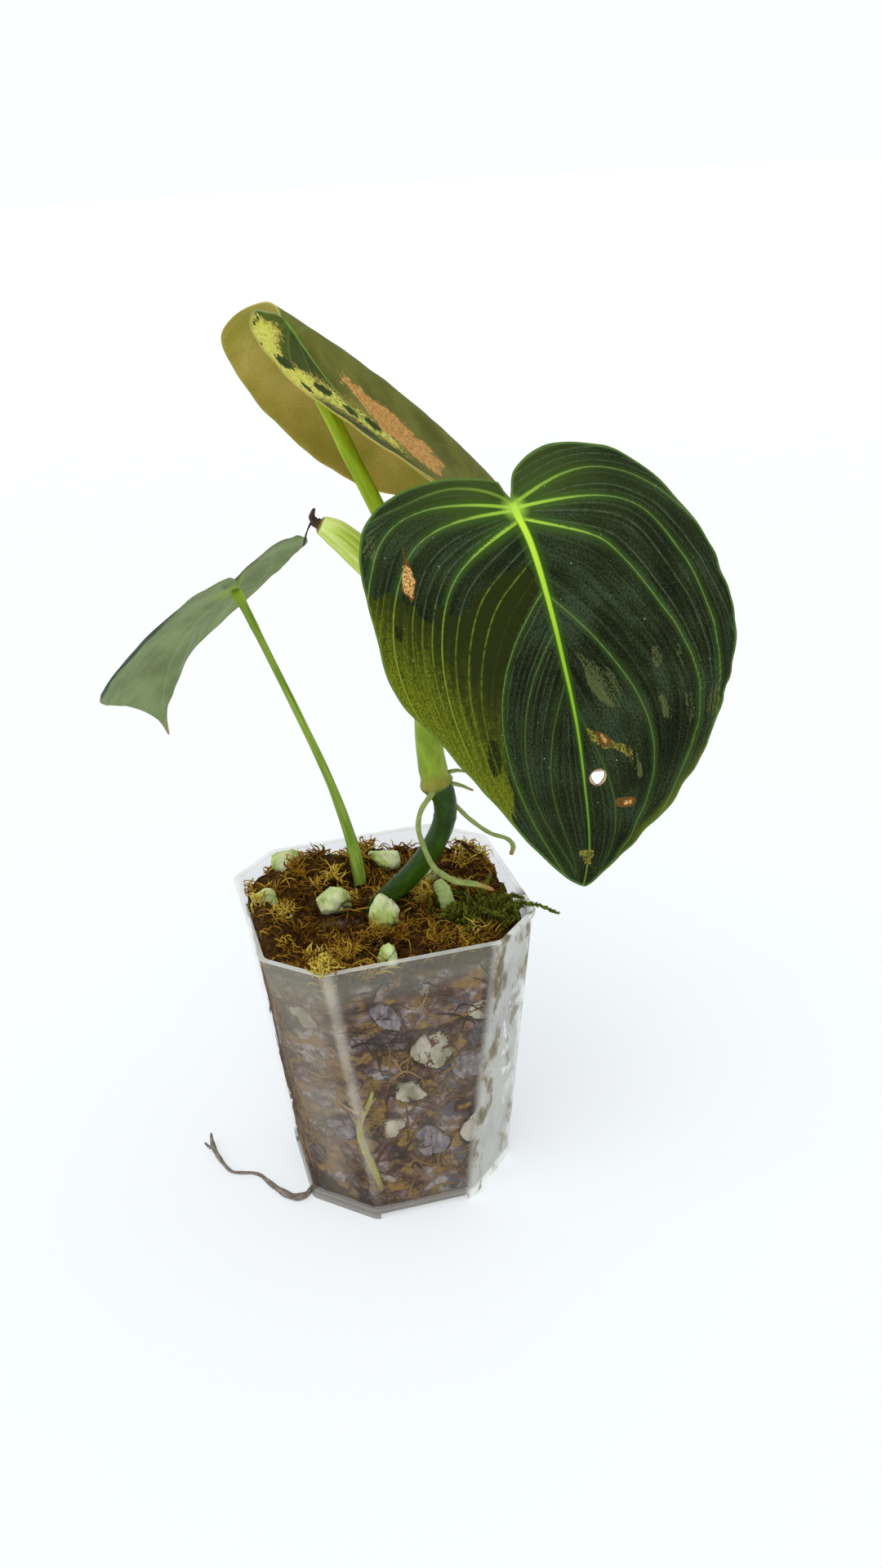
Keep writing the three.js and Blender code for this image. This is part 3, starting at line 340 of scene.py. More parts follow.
# Materials: an expression on sockets adds its own nodes
class Sum:
    """A socket of a material, or what an expression on sockets gives."""

    def __init__(self, finish, socket):
        self.finish = finish
        self.socket = socket

    def maths(self, operation, *values):
        given = {i: value for i, value in enumerate(values)}
        return self.finish.add("ShaderNodeMath", {"operation": operation}, given)

    def __add__(self, other):
        return self.maths("ADD", self, other)

    def __sub__(self, other):
        return self.maths("SUBTRACT", self, other)

    def __rsub__(self, other):
        return self.maths("SUBTRACT", other, self)

    def __mul__(self, other):
        return self.maths("MULTIPLY", self, other)

    def __truediv__(self, other):
        return self.maths("DIVIDE", self, other)

    def __abs__(self):
        return self.maths("ABSOLUTE", self)

    def most(self, other):
        """The greater of two values."""
        return self.maths("MAXIMUM", self, other)

    def floor(self):
        return self.maths("FLOOR", self)

    def to_whole(self):
        """How far the value is from the nearest whole number."""
        return self.maths("PINGPONG", self, 0.5)

    def step(self, start, end, low=0.0, high=1.0):
        """A smooth change from low to high as the value goes from start to end."""
        settings = {"interpolation_type": "SMOOTHSTEP"}
        return self.finish.add("ShaderNodeMapRange", settings, {0: self, 1: start, 2: end, 3: low, 4: high})

    __radd__ = __add__
    __rmul__ = __mul__


class Finish:
    """One material and its nodes."""

    def __init__(self, name):
        self.material = bpy.data.materials.new(name)
        self.material.use_nodes = True
        self.tree = self.material.node_tree
        self.tree.nodes.clear()

    def add(self, kind, settings=None, values=None, output=0):
        """A node: its settings first, then the values or links of its inputs."""
        node = self.tree.nodes.new(kind)
        for key, value in (settings or {}).items():
            if key == "stops":
                self.set_stops(node.color_ramp.elements, value)
            else:
                setattr(node, key, value)
        for key, value in (values or {}).items():
            if isinstance(value, Sum):
                self.tree.links.new(value.socket, node.inputs[key])
            else:
                node.inputs[key].default_value = value
        return Sum(self, node.outputs[output])

    @staticmethod
    def set_stops(elements, stops):
        while len(elements) < len(stops):
            elements.new(1)
        for element, (position, colour) in zip(elements, stops):
            element.position = position
            element.color = (*colour, 1)

    def place(self, scale=(1, 1, 1), turn=(0, 0, 0)):
        """Object coordinates in millimetres, then scaled and turned."""
        point = self.add("ShaderNodeTexCoord", output=3)
        size = tuple(1000 * s for s in scale)
        return self.add("ShaderNodeMapping", None, {"Vector": point, "Rotation": turn, "Scale": size})

    def field(self, name):
        """A number kept on the piece's points."""
        return self.add("ShaderNodeAttribute", {"attribute_name": name}, output=2)

    def vector(self, name, scale=(1, 1, 1)):
        """A vector kept on the piece's points, scaled."""
        value = self.add("ShaderNodeAttribute", {"attribute_name": name}, output=1)
        return self.add("ShaderNodeMapping", None, {"Vector": value, "Scale": scale})

    def part(self, vector, which):
        """One of the three numbers of a vector."""
        return self.add("ShaderNodeSeparateXYZ", None, {0: vector}, output=which)

    def noise(self, vector, scale, detail=3.0, rough=0.55):
        """Soft noise from 0 to 1; a scale of 1 has lumps about a unit across."""
        values = {"Vector": vector, "Scale": scale, "Detail": detail, "Roughness": rough}
        return self.add("ShaderNodeTexNoise", None, values)

    def noise_over(self, name, scale, detail=3.0, rough=0.55):
        """Soft noise over a vector kept on the piece's points."""
        return self.noise(self.vector(name, scale), 1.0, detail, rough)

    def area(self, name, border, soft=0.12):
        """1 inside a patch kept on the points and 0 outside it; border moves its edge, in millimetres."""
        return (self.field(name) + border).step(-soft, soft)

    def chance(self, value):
        """A random number from 0 to 1 for each value."""
        return self.add("ShaderNodeTexWhiteNoise", {"noise_dimensions": "1D"}, {1: value})

    def cells(self, vector, scale):
        """Distance to the nearest scattered point."""
        return self.add("ShaderNodeTexVoronoi", None, {"Vector": vector, "Scale": scale})

    def ramp(self, value, *stops):
        return self.add("ShaderNodeValToRGB", {"stops": stops}, {"Fac": value})

    def blend(self, share, first, second):
        """The first colour where share is 0 and the second where it is 1."""
        values = {0: share, 6: self.opaque(first), 7: self.opaque(second)}
        return self.add("ShaderNodeMix", {"data_type": "RGBA"}, values, output=2)

    def coats(self, colour, *layers):
        """A colour under layers, each of them a share from 0 to 1 and the colour it puts on."""
        for share, over in layers:
            colour = self.blend(share, colour, over)
        return colour

    @staticmethod
    def opaque(colour):
        return colour if isinstance(colour, Sum) else (*colour, 1)

    def surface(self, colour, roughness, height=None, depth=0.2, alpha=None, **constants):
        """The surface itself. Depth is the bumps' height in millimetres; constants name its own sockets."""
        values = {"Base Color": self.opaque(colour), "Roughness": roughness}
        if height is not None:
            bump = {"Height": height, "Distance": depth * MM, "Strength": 1.0}
            values["Normal"] = self.add("ShaderNodeBump", None, bump)
        if alpha is not None:
            values["Alpha"] = alpha
        for key, value in constants.items():
            values[key.replace("_", " ")] = value
        shader = self.add("ShaderNodeBsdfPrincipled", None, values)
        self.add_output(shader)
        return self.material

    def add_output(self, shader):
        node = self.tree.nodes.new("ShaderNodeOutputMaterial")
        self.tree.links.new(shader.socket, node.inputs[0])


# Mesh helpers
def add_object(name, data):
    made = bpy.data.objects.new(name, data)
    bpy.context.scene.collection.objects.link(made)
    return made


def show(name, mesh, slot, *materials, replaces=(), sharp=None):
    """An object of the part at the origin, riding on its one body."""
    piece = add_object(name, mesh)
    mesh.shade_smooth()
    if sharp is not None:
        mesh.set_sharp_from_angle(angle=math.radians(sharp))
    for material in materials:
        mesh.materials.append(material)
    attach(piece, "root")
    if replaces:
        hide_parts(*replaces)
    return piece


def to_mesh(bm, name):
    mesh = bpy.data.meshes.new(name)
    bm.to_mesh(mesh)
    bm.free()
    return mesh


def with_modifiers(holder):
    """The mesh of an object with its modifiers applied; the object itself goes."""
    bpy.context.view_layer.update()
    made = bpy.data.meshes.new_from_object(holder.evaluated_get(bpy.context.evaluated_depsgraph_get()))
    bpy.data.objects.remove(holder)
    return made


def split(bm, edges):
    """Cuts edges in two, and leaves no face with more than four corners."""
    bmesh.ops.subdivide_edges(bm, edges=edges, cuts=1, use_grid_fill=True)
    bmesh.ops.triangulate(bm, faces=[face for face in bm.faces if len(face.verts) > 4])


def unit(vectors):
    """Vectors brought to a length of one."""
    return vectors / np.maximum(np.linalg.norm(vectors, axis=-1, keepdims=True), 1e-9)


def read_points(mesh):
    points = np.empty(len(mesh.vertices) * 3, np.float64)
    mesh.vertices.foreach_get("co", points)
    return points.reshape(-1, 3)


def write_points(mesh, points):
    """Sets every point of a mesh, from millimetres."""
    mesh.vertices.foreach_set("co", (np.asarray(points) * MM).astype(np.float32).ravel())
    mesh.update()


def keep(mesh, name, values):
    """Keeps a number or a vector on each point of a mesh."""
    values = np.asarray(values, np.float32)
    kind, field = ("FLOAT_VECTOR", "vector") if values.ndim == 2 else ("FLOAT", "value")
    attribute = mesh.attributes.new(name, kind, "POINT")
    attribute.data.foreach_set(field, values.ravel())


def rod(name, sides, steps):
    """A straight closed rod of radius 1 from z = 0 to z = 1, cut across at every step."""
    bm = bmesh.new()
    bmesh.ops.create_cone(bm, cap_ends=True, cap_tris=True, segments=sides, radius1=1, radius2=1, depth=1)
    bmesh.ops.translate(bm, verts=bm.verts[:], vec=(0, 0, 0.5))
    for step in range(1, steps):
        whole = bm.verts[:] + bm.edges[:] + bm.faces[:]
        bmesh.ops.bisect_plane(bm, geom=whole, dist=1e-6, plane_co=(0, 0, step / steps), plane_no=(0, 0, 1))
    return to_mesh(bm, name)


def repeat(template, count):
    """A mesh that holds a template mesh many times over, copy after copy."""
    holder = add_object("holder", template)
    array = holder.modifiers.new("copies", "ARRAY")
    array.count = count
    array.use_relative_offset = False
    array.use_constant_offset = True
    array.constant_offset_displace = (0, 0, 0)
    return with_modifiers(holder)


def cubic(p1, p2, m1, m2, t):
    """A curve from p1 to p2 that leaves along m1 and arrives along m2."""
    return p1 + m1 * t + (3 * (p2 - p1) - 2 * m1 - m2) * t**2 + (2 * (p1 - p2) + m1 + m2) * t**3


def through(path, shares):
    """Points along a smooth curve through the path, at shares of it from 0 to 1."""
    p = np.array(path, float)
    p = np.vstack([2 * p[0] - p[1], p, 2 * p[-1] - p[-2]])
    spot = np.clip(np.asarray(shares, float), 0, 1) * (len(path) - 1)
    i = np.minimum(spot.astype(int), len(path) - 2)
    t = (spot - i)[:, None]
    p0, p1, p2, p3 = p[i], p[i + 1], p[i + 2], p[i + 3]

    def pace(a, b):
        return np.maximum(np.linalg.norm(b - a, axis=1, keepdims=True), 1e-6) ** 0.5

    d0, d1, d2 = pace(p0, p1), pace(p1, p2), pace(p2, p3)
    m1 = d1 * ((p1 - p0) / d0 - (p2 - p0) / (d0 + d1) + (p2 - p1) / d1)
    m2 = d1 * ((p2 - p1) / d1 - (p3 - p1) / (d1 + d2) + (p3 - p2) / d2)
    return cubic(p1, p2, m1, m2, t)


def carried(points):
    """Two directions square to a line of points and to each other, turned as little as the line allows."""
    along = unit(np.gradient(points, axis=0))
    first = [unit(np.cross(along[0], (0.31, 0.87, 0.38)))]
    for way in along[1:]:
        first.append(unit(first[-1] - way * (first[-1] @ way)))
    first = np.array(first)
    return first, np.cross(along, first)


def build_round(name, node, spec, sides, steps, swell, slot, finish, ends=(0.02, 0.02)):
    """A round piece along a path, in place of a solid where node names one.

    swell(share, angle) gives what each point's radius is multiplied by.
    """
    path, radii = spec
    mesh = rod(name, sides, steps)
    flat = read_points(mesh)
    share = flat[:, 2]
    ring = np.rint(share * steps).astype(int)
    line = through(path, np.linspace(0, 1, steps + 1))
    first, second = carried(line)
    angle = np.arctan2(flat[:, 1], flat[:, 0])
    out = np.hypot(flat[:, 0], flat[:, 1])
    radius = np.interp(share * (len(radii) - 1), np.arange(len(radii)), radii)
    start = np.clip(share / ends[0], 0, 1)
    end = np.clip((1 - share) / ends[1], 0, 1)
    blunt = np.sqrt(1 - (1 - start) ** 2) * np.sqrt(1 - (1 - end) ** 2)
    radius *= out * np.maximum(blunt, BLUNT_TIP) * swell(share, angle)
    turned = first[ring] * np.cos(angle)[:, None] + second[ring] * np.sin(angle)[:, None]
    write_points(mesh, line[ring] + turned * radius[:, None])
    length = np.linalg.norm(np.diff(line, axis=0), axis=1).sum()
    keep(mesh, "skin", np.column_stack([np.cos(angle), np.sin(angle), share * length]))
    keep(mesh, "share", share)
    show(name, mesh, slot, finish, replaces=[node] if node else [])


def strands(name, lines, radii, tones):
    """Thin tapered strands of three sides, each along its own line of points, in one mesh."""
    count, rings = lines.shape[:2]
    mesh = repeat(rod(name, 3, rings - 1), count)
    flat = read_points(mesh)
    index = np.repeat(np.arange(count), len(flat) // count)
    share = np.clip(flat[:, 2], 0, 1)
    ring = np.rint(share * (rings - 1)).astype(int)
    along = unit(np.gradient(lines, axis=1))
    first = unit(np.cross(along, rng.normal(size=(count, 1, 3))))
    second = np.cross(along, first)
    taper = 0.25 + 0.75 * np.sin(np.pi * (0.18 + 0.8 * share)) ** 0.7
    offset = first[index, ring] * flat[:, :1] + second[index, ring] * flat[:, 1:2]
    write_points(mesh, lines[index, ring] + offset * (radii[index] * taper)[:, None])
    keep(mesh, "tone", tones[index])
    keep(mesh, "share", share)
    return mesh


def lumps(points, size, seed):
    """Soft lumps of about that size at an array of points, mostly between -1 and 1."""
    waves = 16
    draws = np.random.default_rng(seed)
    ways = unit(draws.normal(size=(waves, 3)))
    speeds = 2 * np.pi / size * draws.uniform(0.6, 1.6, waves)
    shifts = draws.uniform(0, 2 * np.pi, waves)
    return np.sin(points @ (ways * speeds[:, None]).T + shifts).sum(1) / math.sqrt(waves / 2)


def heaps(points, spots):
    """Round heaps added up at each point. A spot is its x and y, its reach and its height."""
    total = np.zeros(len(points))
    for x, y, reach, height in spots:
        total += height * np.exp(-((points[:, 0] - x) ** 2 + (points[:, 1] - y) ** 2) / reach**2)
    return total


def merged_copy(node):
    """A bmesh of a solid with its loose triangles joined."""
    bm = bmesh.new()
    bm.from_mesh(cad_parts[node].data)
    bmesh.ops.remove_doubles(bm, verts=bm.verts[:], dist=1e-6)
    return bm


def normals_of(mesh):
    normals = np.empty(len(mesh.vertices) * 3, np.float32)
    mesh.vertices.foreach_get("normal", normals)
    return normals.reshape(-1, 3)


# Pot
def section_sizes(z, out):
    """Half the width of the pot's section at a height, grown outwards, and how much its corners are cut."""
    t = z / POT_HEIGHT
    half = (BASE_WIDTH + (TOP_WIDTH - BASE_WIDTH) * t) / 2 + out
    return half, BASE_CUT + (TOP_CUT - BASE_CUT) * t + out * (2 - math.sqrt(2))


def pot_section(z, out):
    """The corners of the pot's eight-sided section at a height, grown outwards."""
    half, cut = section_sizes(z, out)
    near = half - cut
    corners = [(half, -near), (half, near), (near, half), (-near, half),
               (-half, near), (-half, -near), (-near, -half), (near, -half)]
    return [Vector((x, y, z)) for x, y in corners]


def inner_reach(angle, z, inset):
    """How far the inner wall, moved in by inset, lies from the axis at an angle and a height."""
    half, cut = section_sizes(z, -WALL - inset)
    x = np.abs(np.cos(angle))
    y = np.abs(np.sin(angle))
    return np.minimum(half / np.maximum(x, y), (2 * half - cut) / (x + y))


def move_section(verts, low, high):
    """Moves the rounded section from one height and growth to another, corner by corner."""
    before = pot_section(*low)
    after = pot_section(*high)
    for vert in verts:
        corner = min(range(8), key=lambda i: (vert.co - before[i]).length_squared)
        vert.co = after[corner] + (vert.co - before[corner])


def grow_section(bm, face, low, high):
    """Extrudes a face of the pot from one section to another, and gives the new face."""
    grown = bmesh.ops.extrude_face_region(bm, geom=[face])["geom"]
    top = next(g for g in grown if isinstance(g, bmesh.types.BMFace))
    move_section(top.verts, low, high)
    if face.is_valid:
        bmesh.ops.delete(bm, geom=[face], context="FACES_ONLY")
    return top


def cut_with(piece, tools, operation):
    """Joins the tools to a mesh or cuts them from it, and gives the new mesh."""
    holder = add_object("holder", piece)
    made = []
    for tool in tools:
        made.append(add_object("cutter", to_mesh(tool, "cutter")))
        boolean = holder.modifiers.new("cut", "BOOLEAN")
        boolean.operation = operation
        boolean.solver = "EXACT"
        boolean.object = made[-1]
    result = with_modifiers(holder)
    for cutter in made:
        bpy.data.objects.remove(cutter)
    return result


def post(radius, low, high, x=0, y=0):
    bm = bmesh.new()
    sides = 32 if radius > DRAIN_RADIUS else 24
    bmesh.ops.create_cone(bm, cap_ends=True, segments=sides, radius1=radius, radius2=radius, depth=high - low)
    bmesh.ops.translate(bm, verts=bm.verts[:], vec=(x, y, (low + high) / 2))
    return bm


def block(width, depth, height):
    bm = bmesh.new()
    bmesh.ops.create_cube(bm, size=1)
    bmesh.ops.scale(bm, verts=bm.verts[:], vec=(width, depth, height))
    return bm


def build_pot():
    """The clear pot: its shell from section to section, with a pad, four arches and eight drain holes."""
    bm = bmesh.new()
    corners = [bm.verts.new(p) for p in pot_section(0, 0)]
    bm.faces.new(corners)
    bmesh.ops.bevel(bm, geom=corners, offset=CORNER_ROUND, offset_type="OFFSET", segments=4, profile=0.5,
                    affect="VERTICES", material=-1)
    foot = bm.faces[:][0]
    under = bmesh.ops.duplicate(bm, geom=[foot])["geom"]
    under = next(g for g in under if isinstance(g, bmesh.types.BMFace))
    shoulder = POT_HEIGHT - RIM_HEIGHT
    outside = [(0, 0), (shoulder, 0), (shoulder + RIM_STEP, RIM_OUT), (POT_HEIGHT, RIM_OUT),
               (POT_HEIGHT, -WALL), (FLOOR_TOP, -WALL)]
    for low, high in zip(outside, outside[1:]):
        foot = grow_section(bm, foot, low, high)
    beneath = [(0, 0), (0, -FOOT_WALL), (FLOOR_LIFT, -FOOT_WALL)]
    for low, high in zip(beneath, beneath[1:]):
        under = grow_section(bm, under, low, high)
    bmesh.ops.remove_doubles(bm, verts=bm.verts[:], dist=1e-4)
    bmesh.ops.recalc_face_normals(bm, faces=bm.faces[:])
    shell = to_mesh(bm, "clear_pot_shell")
    shell = cut_with(shell, [post(PAD_RADIUS, 0, FLOOR_LIFT + PAD_LIFT)], "UNION")
    arch = BASE_WIDTH - 2 * BASE_CUT - 2 * FOOT_WIDTH
    side = (BASE_WIDTH - arch) / 2 + CUT_SPARE
    tools = []
    for turn in range(4):
        tool = block(arch, side, 2 * ARCH_HEIGHT)
        bmesh.ops.translate(tool, verts=tool.verts[:], vec=(0, BASE_WIDTH / 2 + CUT_SPARE - side / 2, 0))
        quarter = Matrix.Rotation(turn * math.pi / 2, 3, "Z")
        bmesh.ops.rotate(tool, verts=tool.verts[:], cent=(0, 0, 0), matrix=quarter)
        tools.append(tool)
    for i in range(8):
        ring = DRAIN_RING + DRAIN_SHIFT * (i % 2)
        angle = i * math.pi / 4
        x, y = ring * math.cos(angle), ring * math.sin(angle)
        tools.append(post(DRAIN_RADIUS, FLOOR_LIFT - 1, FLOOR_TOP + 1, x, y))
    shell = cut_with(shell, tools, "DIFFERENCE")
    shell.transform(Matrix.Scale(MM, 4))
    piece = show("clear_pot_shell", shell, "clear_pot", film_finish(), replaces=["pot"], sharp=35)
    bevel = piece.modifiers.new("soft_edges", "BEVEL")
    bevel.width = EDGE_ROUND * MM
    bevel.segments = 2
    bevel.limit_method = "ANGLE"
    bevel.angle_limit = math.radians(50)


def film_finish():
    """Milky film: clear where wet mix is pressed against it, hazier under the rim and at its left.

    The right front corner is misted and stained, the foot is dark, and a pale fold runs up the front left.
    """
    f = Finish("milky_film")
    x, y, height = (f.part(f.place(), i) for i in range(3))
    rim = height.step(POT_HEIGHT - 0.5, POT_HEIGHT - 0.2)
    upper = height.step(84, 93)
    left = x.step(-20, -30) * y.step(-18, -30)
    corner = (x - y - height * 0.2).step(46, 49.8)
    clouds = f.noise(f.place((0.06, 0.06, 0.04)), 1.0, 3)
    beside = (x - height * 0.085).step(32.4, 33.8) * y.step(-6, -20)
    fold = abs(x - y + height * 0.03 - 19).step(3.2, 0.4) * (x + y).step(-38, -46) * height.step(2, 14)
    foot = height.step(5.5, 3)
    right = corner.most(beside)
    stains = f.noise(f.place((0.16, 0.16, 0.09), (0.5, 0, 0)), 1.0, 5, 0.65) + height.step(20, 90) * 0.05
    stains = stains + (x + y).step(-2, -18) * 0.08
    stained = right * stains.step(0.52, 0.64)
    hazy = f.blend(upper, (0.5, 0.45, 0.38), (0.42, 0.41, 0.33))
    pale = f.blend(clouds.step(0.35, 0.6), (0.97, 0.99, 0.98), (0.8, 0.82, 0.76))
    colour = f.coats(
        hazy,
        (rim.most(right), pale),
        (stained, f.ramp(stains, (0.5, (0.5, 0.46, 0.3)), (0.7, (0.16, 0.12, 0.07)))),
        (fold, (0.66, 0.6, 0.5)),
        (foot * (1 - corner), (0.15, 0.12, 0.09)),
    )
    haze = clouds.step(0.4, 0.75) * 0.05 + left * 0.12 + upper * 0.1 + rim * 0.3 + 0.035
    misted = right * clouds.step(0.3, 0.6, 0.2, 0.42)
    alpha = haze + misted + stained * 0.35 + foot * 0.5 + fold * clouds.step(0.3, 0.6) * 0.22
    return f.surface(colour, clouds * 0.2 + 0.25, alpha=alpha, IOR=1.49, Specular_IOR_Level=0.25)


# Mix
def mix_finish():
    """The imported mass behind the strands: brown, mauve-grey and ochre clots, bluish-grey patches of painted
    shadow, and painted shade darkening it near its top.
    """
    f = Finish("packed_mix")
    clots = f.noise(f.place((1, 1, 1.3)), 0.085, 3, 0.6)
    hue = f.noise(f.place((1, 1, 1.2), (0.4, 0.8, 0)), 0.12, 3, 0.6)
    grain = f.noise(f.place(), 0.8, 4, 0.7)
    colour = f.coats(
        f.ramp(clots, (0.36, (0.018, 0.01, 0.008)), (0.46, (0.09, 0.04, 0.025)),
               (0.53, (0.2, 0.13, 0.11)), (0.62, (0.38, 0.33, 0.3))),
        (hue.step(0.52, 0.6), (0.26, 0.15, 0.035)),
        # Painted shadow: bluish-grey patches, placed at random.
        (hue.step(0.44, 0.38), (0.09, 0.085, 0.1)),
        (grain.step(0.55, 0.35) * 0.45, (0.03, 0.017, 0.012)),
        # Painted shade: the top of the mix, where it shows between the moss heads, darkened as deep hollows.
        (f.part(f.place(), 2).step(90, 94),
         f.blend(grain.step(0.4, 0.65), (0.03, 0.014, 0.005), (0.1, 0.05, 0.012))),
    )
    return f.surface(colour, 0.9, grain, 0.6, Specular_IOR_Level=0.03)


def moss_finish(name, *stops):
    """Dried moss strands, from near black brown to straw."""
    f = Finish(name)
    tone = f.field("tone")
    flecks = f.noise(f.place(), 1.4, 3, 0.6)
    colour = f.ramp(tone * 0.85 + flecks * 0.3 - 0.08, *stops)
    return f.surface(colour, 0.9, flecks, 0.15, Specular_IOR_Level=0.03)


def lump_circles(kind):
    """Centre and radius, seen from above, of each lump of a kind."""
    found = []
    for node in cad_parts:
        if node.startswith(kind):
            low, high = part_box(node)
            centre = (low + high) / 2 / MM
            found.append((centre.x, centre.y, centre.z, (high.x - low.x + high.y - low.y) / 4 / MM))
    return found


def build_mix():
    """The mix's solid with a rough skin and a heaped top, and the strands on it and behind the wall."""
    bm = merged_copy("moss_mix")
    tree = BVHTree.FromBMesh(bm)
    for _ in range(2):
        split(bm, [edge for edge in bm.edges if edge.calc_length() > MIX_STEP * MM])
    core = to_mesh(bm, "mix_core")
    points = read_points(core) / MM
    outwards = normals_of(core)
    rough = 0.7 * lumps(points, size=5, seed=3) + 0.45 * lumps(points, size=2.2, seed=4)
    top = np.clip((points[:, 2] - MIX_TOP_STARTS) / 6, 0, 1)
    depth = np.where(top > 0, rough, -np.abs(rough)) * (0.15 + 0.85 * top)
    depth = np.where(points[:, 2] < 4, 0, depth)
    moved = points + outwards * np.clip(depth, -1.2, 0.8)[:, None]
    moved[:, 2] += heaps(points, MOUNDS) * top * HEAPED_SHARE
    write_points(core, moved)
    show("mix_core", core, "brown_moss", mix_finish(), replaces=["moss_mix"])
    build_moss_top(tree)
    build_moss_behind_wall()


def moss_tone(points, spread):
    """Straw at the tuft by the left front corner and on the heaps, and painted shade making the hollow left of
    the middle dark.
    """
    tone = 0.4 + 0.14 * lumps(points, size=15, seed=11) + rng.uniform(-spread, spread, len(points))
    return tone + heaps(points, TONE_AND_SHADE_SPOTS)


def open_spot(tree, taken, height, inset, clear):
    """A place drawn at random on top of the mix, clear of the spots that are taken."""
    while True:
        angle = rng.uniform(0, 2 * math.pi)
        reach = inner_reach(angle, height, inset) * math.sqrt(rng.uniform(0, 1))
        x = reach * math.cos(angle)
        y = reach * math.sin(angle)
        root = tree.ray_cast(Vector((x * MM, y * MM, RAY_START * MM)), Vector((0, 0, -1)))[0]
        near = any(math.hypot(x - spot[0], y - spot[1]) < clear * spot[3] for spot in taken)
        if root is not None and root.z >= LOWEST_TOP * MM and not near:
            return np.array(root / MM)


def build_moss_top(tree):
    """Small heads of dried moss on the mix, each a burst of short strands, and longer strands across them."""
    stones = [spot for spot in lump_circles("pumice") + lump_circles("bark") if spot[2] > TOP_LUMPS_ABOVE]
    taken = stones + CLEAR_SPOTS
    centres = np.array([open_spot(tree, taken, height=96, inset=2.2, clear=0.9) for _ in range(MOSS_HEADS)])
    centres[:, 2] += rng.uniform(-2.2, 1.8, len(centres)) + heaps(centres, MOUNDS)
    tuft = len(CORNER_TUFT)
    centres[:tuft] = CORNER_TUFT
    which = np.repeat(np.arange(len(centres)), HEAD_STRANDS)
    count = len(which)
    way = rng.normal(size=(count, 3))
    way[:, 2] = np.abs(way[:, 2]) * 0.8 - 0.25
    way = unit(way)
    size = rng.uniform(2.4, 5.4, len(centres))[which] * rng.uniform(0.5, 1.1, count)
    size[which < tuft] = rng.uniform(1, 2.6, tuft * HEAD_STRANDS)
    start = centres[which] + rng.normal(size=(count, 3)) * 1.1
    lines = curls(start, way * size[:, None])
    tones = moss_tone(centres, 0.15)[which] + 0.3 * way[:, 2] + rng.uniform(-0.12, 0.12, count) - 0.06
    radii = rng.uniform(0.14, 0.4, count)
    long_lines = across_the_top(tree, taken)
    lines[which >= tuft] = keep_inside(lines[which >= tuft])
    lines = np.concatenate([lines, long_lines])
    tones = np.concatenate([tones, moss_tone(long_lines[:, 2], 0.25)])
    radii = np.concatenate([radii, rng.uniform(0.14, 0.34, len(long_lines))])
    mesh = strands("moss_top", lines, radii, np.clip(tones, 0.02, 1))
    finish = moss_finish("dried_moss", (0.08, (0.04, 0.014, 0.003)), (0.32, (0.19, 0.08, 0.01)),
                         (0.6, (0.42, 0.24, 0.024)), (0.9, (0.66, 0.5, 0.09)))
    show("moss_top", mesh, "brown_moss", finish)


def curls(start, way):
    """Curling lines from each start, along each way."""
    count = len(start)
    steps = np.linspace(0, 1, STRAND_POINTS)[None, :, None]
    first = unit(np.cross(way, rng.normal(size=(count, 3))))
    second = unit(np.cross(way, first))
    turn = rng.uniform(2.5, 6.5, (count, 1, 1)) * steps
    width = rng.uniform(0.35, 1.1, (count, 1, 1)) * steps ** 0.5
    curl = first[:, None] * np.sin(turn) + second[:, None] * (1 - np.cos(turn))
    return start[:, None] + way[:, None] * steps + curl * width


def keep_inside(lines):
    """Pulls strands back from the pot's wall."""
    out = np.hypot(lines[..., 0], lines[..., 1])
    limit = inner_reach(np.arctan2(lines[..., 1], lines[..., 0]), 97, 1)
    pulled = lines.copy()
    pulled[..., :2] *= np.minimum(1, limit / np.maximum(out, 1e-6))[..., None]
    return pulled


def across_the_top(tree, taken):
    """Longer single strands lying over the heads of moss."""
    lines = []
    steps = np.linspace(0, 1, STRAND_POINTS)
    for _ in range(LONG_STRANDS):
        root = open_spot(tree, taken, height=95, inset=1.5, clear=0.75)
        heading = rng.uniform(0, 2 * math.pi)
        way = np.array([math.cos(heading), math.sin(heading), 0]) * rng.uniform(5, 10)
        side = np.cross(way, (0, 0, 1)) * rng.uniform(-0.35, 0.35)
        lift = rng.uniform(0.8, 2.6)
        line = root + np.outer(steps, way) + np.outer(steps**2, side)
        line[:, 2] += np.sin(np.pi * steps) * lift + 0.5 - steps * 0.6
        lines.append(line)
    lines = np.array(lines)
    lines[:, :, 2] += heaps(lines[:, 2], MOUNDS)[:, None]
    return keep_inside(lines)


